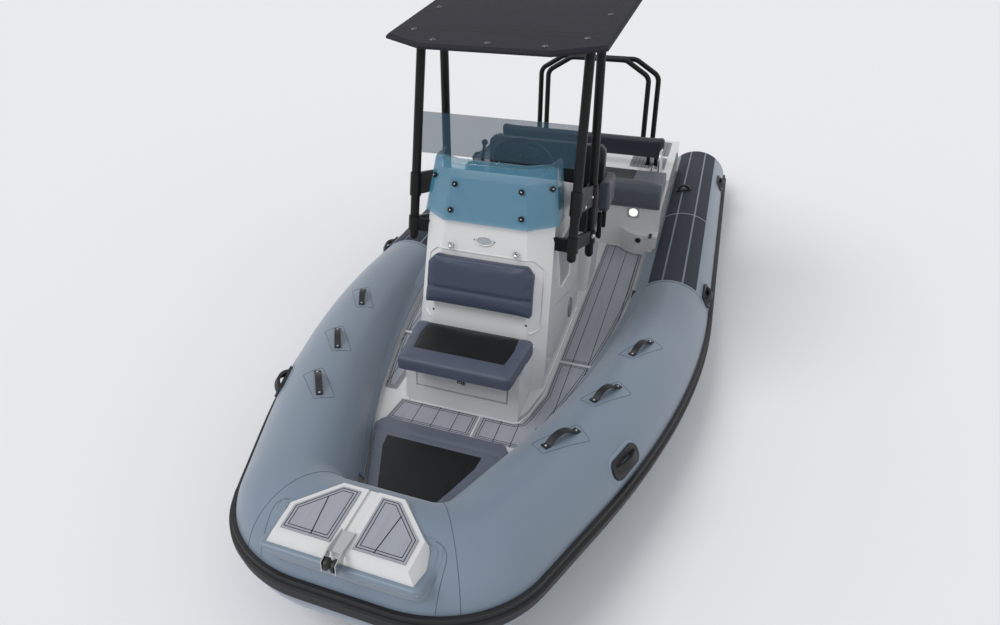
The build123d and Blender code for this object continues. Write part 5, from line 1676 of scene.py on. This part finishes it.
    def front_vent(self) -> None:
        """White rim round the oval front vent, and its fine slats."""
        frame = frame_at(self.on_face(0, self.vent_up), self.face_normal, PORT)
        rim = tube(ellipse(frame, self.vent_half, 0.004, 48), self.vent_rim_radius, sides=10, closed=True)
        make_piece("vent_rim", rim, WHITE_GELCOAT)
        a, b = self.vent_half
        slats = Shape()
        for k in range(-3, 4):
            y = k * self.vent_slat_pitch
            reach = a * math.sqrt(max(0.0, 1 - (y / b) ** 2)) - 0.004
            slats.add(tube([frame @ Vector((t * reach, y, 0.0056)) for t in (-1, -0.4, 0.4, 1)],
                           self.vent_slat_radius, sides=6))
        make_piece("vent_slats", slats, SCREW_GREY)

    def hook_eyes(self) -> None:
        """Rings of the two catches above the backrest."""
        boss = lathe(self.eye_boss_profile, 20)
        shape = Shape()
        for side in (-self.hook_y, self.hook_y):
            frame = frame_at(self.on_face(side, self.hook_up, self.hook_out), self.face_normal, PORT)
            shape.add(tube(ellipse(frame, self.eye_half, 0.0, 32, self.eye_rise), self.eye_bar_radius, sides=10,
                           closed=True))
            shape.add(boss, frame)
        make_piece("hook_eyes", shape, POLISHED_STEEL)

    def recess(self) -> None:
        """Rim of the recess in each side, and a darker panel in it that is painted shade."""
        rim_corner, panel_corner = self.recess_corners
        path = self.on_side(rounded(self.side_recess, rim_corner), 0.0, closed=True)
        rim = tube(path, self.recess_rim_radius, sides=10, closed=True)
        make_piece("recess_rims", rim.both_sides(), WHITE_GELCOAT)
        corners = level(self.side_recess, 0.0)
        middle = sum(corners, Vector((0, 0, 0))) / len(corners)
        outline = level(rounded(self.side_recess, panel_corner), 0.0)
        rows = []
        for share in np.linspace(*self.panel_shares, self.panel_rings):
            loop = [middle + (p - middle) * share for p in outline]
            rows.append([self.on_side([(p.x, p.y), (p.x, p.y)], self.panel_lift)[0] for p in loop])
        panel = grid(rows, around=True)
        panel.cap(0, len(outline))
        make_piece("recess_panels", panel.both_sides(), SHADED_GELCOAT)

    def side_creases(self) -> None:
        """Moulded lines along each side, darker with painted shade."""
        lines = Shape()
        for ends in self.side_lines:
            lines.add(tube(self.on_side(ends, 0.0002, 0.05), self.side_line_radius, sides=6))
        make_piece("side_lines", lines.both_sides(), SHADED_GELCOAT)

    def side_vents(self) -> None:
        """Oval vent with a slatted grille in each side."""
        frame = frame_at(self.on_side([self.side_vent] * 2, 0.0)[0], (0, 1, 0.02), UP)
        a, b = self.side_vent_half
        rim = ellipse(frame, self.side_vent_half, 0.002, 40)
        vent = tube(rim, self.side_vent_rim_radius, sides=8, closed=True)
        for k in range(-5, 6):
            up = k * self.side_slat_pitch
            reach = b * math.sqrt(max(0.0, 1 - (up / a) ** 2))
            vent.add(tube([frame @ Vector((up, t * reach, 0.003)) for t in (-1, -0.5, 0.5, 1)],
                          self.side_slat_radius, sides=8))
        plate = Shape(ellipse(frame, self.side_vent_plate, 0.0008, 40) + [frame @ Vector((0, 0, 0.0012))])
        count = len(plate.points) - 1
        plate.faces = [(k, (k + 1) % count, count) for k in range(count)]
        vent.add(plate)
        make_piece("side_vents", vent.both_sides(), SCREW_GREY)

    def latch_trim(self) -> None:
        """Black flange, chrome rings and crossed grip of the locker's latch."""
        frame = frame_at(self.latch, self.latch_normal, PORT)
        make_piece("latch_flange", Shape().add(lathe(self.latch_flange, 36), frame), BLACK_PLASTIC,
                   Body.DOOR)
        shape = Shape()
        for radius, lift in self.latch_rings:
            ring = ellipse(frame, (radius, radius), lift, 32)
            shape.add(tube(ring, self.latch_ring_radius, sides=8, closed=True))
        reach = self.latch_grip_reach
        for across, along in ((reach, 0), (0, reach)):
            shape.add(tube([frame @ Vector((across * t, along * t, self.latch_grip_lift)) for t in (-1, 0, 1)],
                           self.latch_grip_radius, sides=8))
        make_piece("latch_grip", shape, POLISHED_STEEL, Body.DOOR)

    def screen_bolts(self) -> None:
        """Black knobs on the windscreen's bolts, each with a polished steel dome in the middle that stands in
        for the glint on the knob.
        """
        bolts = Skin("windscreen_bolts")
        knob, cap = lathe(self.knob_profile, 24), lathe(self.glint_cap_profile, 18)
        low, top = map(Vector, self.screen_front)
        low_corner, top_corner = map(Vector, self.screen_corner)
        knobs, caps = Shape(), Shape()
        for height, way in self.bolt_steps:
            share = (height - low.z) / (top.z - low.z)
            front, corner = low.lerp(top, share), low_corner.lerp(top_corner, share)
            if way <= 1:
                point, across = Vector((front.x, front.y * way, height)), PORT
            else:
                point, across = front.lerp(corner, way - 1), corner - front
            normal = across.cross(top - low).normalized()
            bolts.seat(knobs, knob, point + normal * 0.1, -normal)
            # painted highlight: a polished dome stands in for the knob's glint
            bolts.seat(caps, cap, point + normal * 0.1, -normal)
        make_piece("screen_knobs", knobs.both_sides(), BLACK_PLASTIC)
        make_piece("bolt_caps", caps.both_sides(), POLISHED_STEEL)

    def screen_lip(self) -> None:
        """Inward fold along the windscreen's top edge."""
        inside = Vector((self.screen_top[0][0], 0, 0))
        edge = [Vector((x - 0.003, y * 0.992, self.lip_z)) for x, y in mirrored(self.screen_top)]
        count = len(edge)
        rows = []
        for inward, up in self.lip_folds:
            row = []
            for k, point in enumerate(edge):
                run = (edge[min(k + 1, count - 1)] - edge[max(k - 1, 0)]).normalized()
                normal = Vector((run.y, -run.x, 0))
                if normal.dot(inside - Vector((point.x, point.y, 0))) < 0:
                    normal = -normal
                row.append(point + normal * inward * self.lip_shares[k] + UP * up)
            rows.append(row)
        sheet = Shape()
        for lift in (0.0, self.lip_thickness):
            sheet.add(grid([[p + UP * lift for p in row] for row in rows]))
        layer, last = len(rows) * count, (len(rows) - 1) * count
        border = [*range(0, last + 1, count), *range(last + 1, last + count),
                  *range(last - 1, count - 2, -count), *range(count - 2, 0, -1)]
        for first, second in zip(border, border[1:] + border[:1]):
            sheet.faces.append((first, second, layer + second, layer + first))
        make_piece("windscreen_lip", sheet, SCREEN_EDGE, smooth=50.0)

    def dash(self) -> None:
        """Plain instrument panel with two gauges and a dark display on the helm's slope."""
        frame = frame_at(self.dash_middle, self.dash_normal, self.dash_up)
        base = Shape().add(prism(rounded(rectangle(*self.panel_half), 0.02), -0.004, self.panel_top), frame)
        for spot in (-self.gauge_y, self.gauge_y):
            base.add(lathe(self.gauge_profile, 32), frame @ Matrix.Translation((0, spot, self.panel_top)))
        make_piece("dash_panel", base, BLACK_PLASTIC, bevel=0.002)
        glass = prism(rounded(rectangle(*self.display_half), 0.008, 4), 0.0055, 0.0095)
        make_piece("dash_display", Shape().add(glass, frame), DARK_GLASS, bevel=0.001)

    def wheel_trim(self) -> None:
        """Cap and grip seams of the steering wheel."""
        centre, axis = Vector(self.wheel_middle), Vector(self.wheel_axis)
        frame = frame_at(centre, axis, PORT)
        shape = Shape().add(lathe(self.wheel_cap, 36), frame)
        for spoke in self.spokes:
            for offset in (-self.seam_turn, self.seam_turn):
                turn = math.radians(spoke + offset)
                middle = frame @ (Vector((math.cos(turn), math.sin(turn), 0)) * self.wheel_radius)
                out = (middle - centre).normalized()
                ring = [middle + (out * math.cos(t) + axis * math.sin(t)) * self.seam_ring_radius
                        for t in np.linspace(0, 2 * math.pi, 25)[:-1]]
                shape.add(tube(ring, self.seam_radius, sides=6, closed=True))
        make_piece("wheel_trim", shape, POLISHED_STEEL, Body.WHEEL)

    def build(self) -> None:
        """Dress the console and what it carries."""
        dress_nodes(WHITE_GELCOAT, "console", bevel=0.014)
        dress_nodes(WHITE_GELCOAT, "locker_door", bevel=0.003)
        dress_nodes(BLACK_PLASTIC, "door_latch", "windscreen_bolts", bevel=0.001)
        dress_nodes(PALE_PLASTIC, "console_vent", bevel=0.001)
        dress_nodes(SCREEN_ACRYLIC, "windscreen", bevel=0.001)
        dress_nodes(SMOKED_ACRYLIC, "upper_screen", bevel=0.001)
        dress_nodes(BLACK_PLASTIC, "steering_wheel", "helm_bezel", "throttle", bevel=0.0015)
        self.backrest_bead()
        self.face_screws()
        self.front_vent()
        self.hook_eyes()
        self.recess()
        self.side_creases()
        self.side_vents()
        self.latch_trim()
        self.screen_bolts()
        self.screen_lip()
        self.dash()
        self.wheel_trim()


# ---- T-top -------------------------------------------------------------------
@dataclass
class TTop:
    """Black tubes and the charcoal roof."""
    slope: float = math.radians(5)
    front_x: float = 0.405
    front_z: float = 2.12
    thick: float = 0.026
    # distance aft of the leading edge and side of each bolt, port half
    bolts: Outline = ((0.074, 0.28), (0.237, 0.444), (0.690, 0.476), (1.14, 0.486), (1.56, 0.490))
    middle_bolts: tuple[float, ...] = (0.072, 1.70)
    bolt_profile: Outline = ((0.0, 0.0075), (0.005, 0.007), (0.0095, 0.005), (0.012, 0.002),
                             (0.0155, 0.0015), (0.0155, 0.0), (0.0, 0.0))
    creases: tuple[float, ...] = (0.262, 0.332)
    crease_half: float = 0.50
    crease_radius: float = 0.0022
    # x of the head of each leg
    leg_heads: tuple[float, ...] = (0.064, -0.262)
    leg_y: float = 0.446
    plate_half: Point2 = (0.05, 0.045)
    plate_thickness: float = 0.007
    plate_drop: float = 0.0075
    # x and z of each bolt in the brackets
    bracket_bolts: Outline = ((-0.031, 1.213), (0.125, 1.330), (-0.240, 1.190), (0.20, 1.105),
                              (-0.285, 0.925))
    screw_profile: Outline = ((0.0, 0.0062), (0.005, 0.0058), (0.0085, 0.004), (0.0095, 0.001),
                              (0.013, 0.001), (0.013, 0.0), (0.0, -0.001))

    @property
    def normal(self) -> Vector:
        """Upward normal of the roof."""
        return Vector((math.sin(self.slope), 0, math.cos(self.slope)))

    def on_roof(self, aft: float, side: float, lift: float) -> Vector:
        """Point over the roof's lower face, by its distance aft of the front edge."""
        x = self.front_x - aft * math.cos(self.slope) + lift * math.sin(self.slope)
        return Vector((x, side, self.front_z + aft * math.sin(self.slope) + lift * math.cos(self.slope)))

    def roof_bolts(self) -> None:
        """Domed bolt heads along the roof's edges."""
        head = lathe(self.bolt_profile, 20)
        shape = Shape()
        for aft, side in self.bolts:
            shape.add(head, frame_at(self.on_roof(aft, side, self.thick), self.normal))
        shape.both_sides()
        for aft in self.middle_bolts:
            shape.add(head, frame_at(self.on_roof(aft, 0.0, self.thick), self.normal))
        make_piece("roof_bolts", shape, DARK_STEEL)

    def roof_creases(self) -> None:
        """Dark lines across the roof's front: painted shade in its pressed creases."""
        shape = Shape()
        sides = np.linspace(-self.crease_half, self.crease_half, 9)
        for aft in self.creases:
            path = [self.on_roof(aft, side, self.thick) for side in sides]
            shape.add(tube(path, self.crease_radius, sides=6, flat=0.5, up=UP))
        make_piece("roof_creases", shape, ROOF_CREASE_SHADE)

    def head_plates(self) -> None:
        """Welded plates that carry the roof on the legs."""
        plate = prism(rounded(rectangle(*self.plate_half), 0.012, 4), 0.0, self.plate_thickness)
        shape = Shape()
        for x in self.leg_heads:
            aft = (self.front_x - x) / math.cos(self.slope)
            shape.add(plate, frame_at(self.on_roof(aft, self.leg_y, -self.plate_drop), self.normal))
        make_piece("head_plates", shape.both_sides(), BLACK_PAINT, bevel=0.0015)

    def bracket_screws(self) -> None:
        """Stainless bolts through the brackets."""
        plates = Skin("ttop_brackets")
        head = lathe(self.screw_profile, 20)
        shape = Shape()
        for x, z in self.bracket_bolts:
            plates.seat(shape, head, (x, 0.7, z), -PORT)
        make_piece("bracket_bolts", shape.both_sides(), POLISHED_STEEL)

    def build(self) -> None:
        """Dress the T-top."""
        dress_nodes(BLACK_PAINT, "ttop_front_legs", "ttop_rear_legs", "roll_bar", "helm_posts",
                    "backrest_posts", smooth=50.0)
        dress_nodes(BLACK_PAINT, "ttop_brackets", bevel=0.004)
        dress_nodes(ROOF_PAINT, "hardtop", bevel=0.003)
        self.roof_bolts()
        self.roof_creases()
        self.head_plates()
        self.bracket_screws()


# ---- seats -------------------------------------------------------------------
def channel(x: float, half: float, z: float, depth: float, width: float) -> Groove:
    """Channel across the boat, over a half length of y."""
    return Groove(((x, -half, z), (x, half, z)), depth, width)


@dataclass
class Seats:
    """Upholstery of the whole boat and the mouldings under it."""
    console: Console
    black: Colour = srgb(13, 14, 16)
    inset_depth: float = 0.03
    bow_inset: Outline = ((1.140, -0.240), (1.213, -0.232), (1.489, -0.132), (1.489, 0.132),
                          (1.213, 0.232), (1.140, 0.240))
    front_inset: Outline = ((0.512, -0.248), (0.650, -0.256), (0.783, -0.240), (0.783, 0.240),
                            (0.650, 0.256), (0.512, 0.248))
    front_nose: Point3 = (0.745, 0.88, 0.019)
    back_channel_half: float = 0.34
    back_channel_up: float = 0.098
    back_channel_out: float = 0.062
    helm_seat_run: Point2 = (-1.10, -0.67)
    helm_seat_z: float = 0.905
    helm_seams: tuple[float, ...] = (-0.14, 0.14)
    helm_back_path: Outline = ((-1.007, 0.90), (-1.007, 1.25), (-1.09, 1.25))
    helm_back_seams: tuple[float, ...] = (-0.15, 0.15)
    bench_inset: Outline = ((-1.985, -0.52), (-1.630, -0.52), (-1.630, 0.52), (-1.985, 0.52))
    bench_seams: tuple[float, ...] = (-0.52, 0.52)
    bench_seam_run: Point2 = (-1.985, -1.62)
    bench_top: float = 0.742
    lamp: Point3 = (-1.5, 0.567, 0.582)
    lamp_half: Point2 = (0.043, 0.043)
    lamp_ring: Point2 = (0.0345, 0.0345)
    lens_profile: Outline = ((0.0, 0.0128), (0.012, 0.0122), (0.024, 0.0098), (0.0325, 0.0060),
                             (0.0325, 0.003), (0.0, 0.003))
    cup_profile: Outline = ((0.0, 0.0014), (0.0150, 0.0016), (0.0172, 0.0022), (0.0172, -0.002),
                            (0.0, -0.002))
    cup_inset: float = 0.0012
    # first and last x of each pad on the stern deck, and its inner and outer y
    stern_pad_runs: Outline = ((-2.555, -2.285), (-2.99, -2.62))
    stern_pad_sides: Point2 = (0.42, 0.70)

    def bench_lamp(self) -> None:
        """Courtesy lamp: square bezel with a round lens."""
        frame = frame_at(self.lamp, (1, 0, 0), PORT)
        bezel = Shape().add(prism(rounded(rectangle(*self.lamp_half), 0.012, 4), 0.0004, 0.0045), frame)
        bezel.add(tube(ellipse(frame, self.lamp_ring, 0.006, 40), 0.0028, sides=8, closed=True))
        make_piece("lamp_bezel", bezel, PALE_PLASTIC, replaces=("bench_lamp",), bevel=0.001)
        make_piece("lamp_lens", Shape().add(lathe(self.lens_profile, 36), frame), LAMP_LENS)

    def drain_cup(self) -> None:
        """Dark cup inside the drain's ring."""
        low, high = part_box("bench_drain")
        centre = (low + high) / 2
        frame = frame_at((high.x - self.cup_inset, centre.y, centre.z), (1, 0, 0), PORT)
        cup = Shape().add(lathe(self.cup_profile, 32), frame)
        make_piece("drain_cup", cup, BLACK_PLASTIC)

    def stern_pads(self) -> None:
        """Ribbed grey pads on the stern deck."""
        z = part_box("stern_deck")[1].z
        inner, outer = self.stern_pad_sides
        shape = Shape()
        for first, last in self.stern_pad_runs:
            outline = rounded(((first, inner), (last, inner), (last, outer), (first, outer)), 0.02, 4)
            shape.add(prism(outline, z + 0.0003, z + 0.005))
        make_piece("stern_pads", shape.both_sides(), STERN_DECKING, bevel=0.001)

    def inset_vinyl(self, name: str, colour: Colour, outline: Outline, top: float) -> InsetVinyl:
        """Vinyl with a black panel on a seat's top."""
        return InsetVinyl(name, colour, inset=self.black, outline=outline, min_z=top - self.inset_depth)

    @staticmethod
    def seam(outline: Sequence[Point2], z: float) -> Groove:
        """Sewn channel round an inset at a height."""
        return Groove(tuple((x, y, z) for x, y in (*outline, outline[0])), 0.004, 0.007)

    def cushions(self) -> list[Cushion]:
        """Every cushion of the boat.

        Returns:
            The cushions, from the bow aft.
        """
        bow_top, front_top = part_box("bow_cushion")[1].z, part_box("front_cushion")[1].z
        back_channel = tuple(tuple(self.console.on_face(side, self.back_channel_up, self.back_channel_out))
                             for side in (-self.back_channel_half, self.back_channel_half))
        first, last = self.helm_seat_run
        helm_seams = tuple(Groove(((first, y, self.helm_seat_z), (last, y, self.helm_seat_z)), 0.008, 0.010)
                           for y in self.helm_seams)
        helm_back = tuple(Groove(tuple((x, y, z) for x, z in self.helm_back_path), 0.008, 0.010)
                          for y in self.helm_back_seams)
        first, last = self.bench_seam_run
        bench_seams = tuple(Groove(((first, y, self.bench_top), (last, y, self.bench_top)), 0.005, 0.008)
                            for y in self.bench_seams)
        return [
            Cushion("bow_cushion", self.inset_vinyl("bow_vinyl", srgb(88, 94, 107), self.bow_inset, bow_top),
                    Slot.SEAT_BLUE, 0.011, swell=0.011,
                    grooves=(self.seam(self.bow_inset, bow_top), channel(1.098, 0.38, bow_top, 0.011, 0.012))),
            Cushion("front_cushion",
                    self.inset_vinyl("front_vinyl", srgb(75, 82, 98), self.front_inset, front_top),
                    Slot.SEAT_BLUE, 0.010, rounds=10, start_inset=0.003, swell=0.009, nose=self.front_nose,
                    grooves=(self.seam(self.front_inset, front_top),)),
            Cushion("front_backrest", BLUE_VINYL, Slot.SEAT_BLUE, 0.009, rounds=7, swell=0.011,
                    grooves=(Groove(back_channel, 0.016, 0.011),)),
            Cushion("helm_cushion", DARK_VINYL, Slot.SEAT_DARK, 0.012, swell=0.012,
                    grooves=(*helm_seams, channel(-0.66, 0.42, 0.83, 0.010, 0.030))),
            Cushion("helm_backrest", DARK_VINYL, Slot.SEAT_DARK, 0.011, swell=0.012, grooves=helm_back),
            Cushion("helm_bolsters", BOLSTER_VINYL, Slot.SEAT_DARK, 0.009, swell=0.009),
            Cushion("bench_cushion",
                    self.inset_vinyl("bench_vinyl", srgb(84, 89, 98), self.bench_inset, self.bench_top),
                    Slot.SEAT_DARK, 0.013, swell=0.012,
                    grooves=(channel(-1.615, 0.78, self.bench_top, 0.012, 0.014), *bench_seams)),
            Cushion("aft_backrest", AFT_VINYL, Slot.SEAT_DARK, 0.012, swell=0.010,
                    grooves=(channel(-2.29, 0.70, 0.80, 0.003, 0.05),)),
        ]

    def build(self) -> None:
        """Dress the seats."""
        dress_nodes(WHITE_GELCOAT, "helm_base", "aft_bench", "stern_deck", bevel=0.012)
        self.bench_lamp()
        self.drain_cup()
        self.stern_pads()
        for cushion in self.cushions():
            cushion.build()


# ---- camera, light and floor -------------------------------------------------
@dataclass(frozen=True)
class Sun:
    """Soft lamp that shines evenly along a direction.

    The direction points to where the light comes from. The strength is its
    light on a face that looks at it, and the spread is the angle in degrees
    that it covers, which softens its shadows.
    """
    name: str
    way: Point3
    strength: float
    spread: float

    def build(self) -> None:
        """Hang the lamp."""
        data = bpy.data.lights.new(self.name, "SUN")
        data.energy = self.strength
        data.angle = math.radians(self.spread)
        lamp = stand(self.name, data)
        lamp.location = Vector(self.way) * 8
        lamp.rotation_euler = (-Vector(self.way)).to_track_quat("-Z", "Y").to_euler()


@dataclass
class Studio:
    """Camera, lamps and the plain floor at the waterline."""
    eye: Point3 = (3.8004, 1.0866, 2.8905)
    ahead: Point3 = (-0.85082, -0.32983, -0.40905)
    right: Point3 = (-0.35449, 0.93492, -0.01653)
    lens: float = 27.384
    sensor: float = 36.0
    shift: Point2 = (0.0601, -0.0980)
    reach: float = 200.0
    floor_half: float = 60.0
    floor_paint: Finish = Finish("floor_paint", srgb(228, 229, 231), roughness=0.9, drift=0.0, grain_depth=0.0)
    lamps: tuple[Sun, ...] = (Sun("key", (0.52, -0.48, 0.84), 1.42, 30.0),
                              Sun("fill", (0.55, 0.60, 0.60), 0.30, 60.0))
    # strength of the even light on the boat, and of the ground as it is seen
    room: float = 0.66
    seen: float = 0.78
    room_colour: Colour = (0.97, 0.98, 1.0, 1.0)

    def camera(self) -> None:
        """Place the camera."""
        data = bpy.data.cameras.new("camera")
        camera = stand("camera", data)
        data.lens = self.lens
        data.sensor_width = self.sensor
        data.shift_x, data.shift_y = self.shift
        data.clip_end = self.reach
        camera.matrix_world = frame_at(self.eye, -Vector(self.ahead), self.right)
        bpy.context.scene.camera = camera

    def floor(self) -> None:
        """Pale floor that keeps the boat's shadow."""
        plate = Shape(level(rectangle(self.floor_half, self.floor_half), 0.0), [(0, 1, 2, 3)])
        floor = stand("floor", plate.mesh("floor"))
        dress(floor, self.floor_paint, None)

    def light(self) -> None:
        """Lamps and the even light of the room."""
        for lamp in self.lamps:
            lamp.build()
        world = bpy.data.worlds.new("room")
        bpy.context.scene.world = world
        world.use_nodes = True
        room = NodeTree(world.node_tree)
        path = room.node("ShaderNodeLightPath")
        looked = Term(room, path.outputs["Is Camera Ray"]).most(Term(room, path.outputs["Is Glossy Ray"]))
        looked = looked.most(Term(room, path.outputs["Is Transmission Ray"]))
        strength = self.room + (self.seen - self.room) * looked
        back = room.node("ShaderNodeBackground", inputs={"Color": self.room_colour, "Strength": strength})
        room.node("ShaderNodeOutputWorld", inputs={"Surface": back.outputs[0]})

    def build(self) -> None:
        """Set the studio up."""
        bpy.context.scene.view_settings.view_transform = "Standard"
        self.camera()
        self.floor()
        self.light()


def main() -> None:
    """Build the whole scene."""
    logging.basicConfig(level=logging.INFO, format="%(message)s")
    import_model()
    collar, console = Collar(), Console()
    for part in (Studio(), collar, Decks(collar), console, TTop(), Seats(console)):
        part.build()
        LOG.info("built %s", type(part).__name__)


if __name__ == "__main__":
    main()
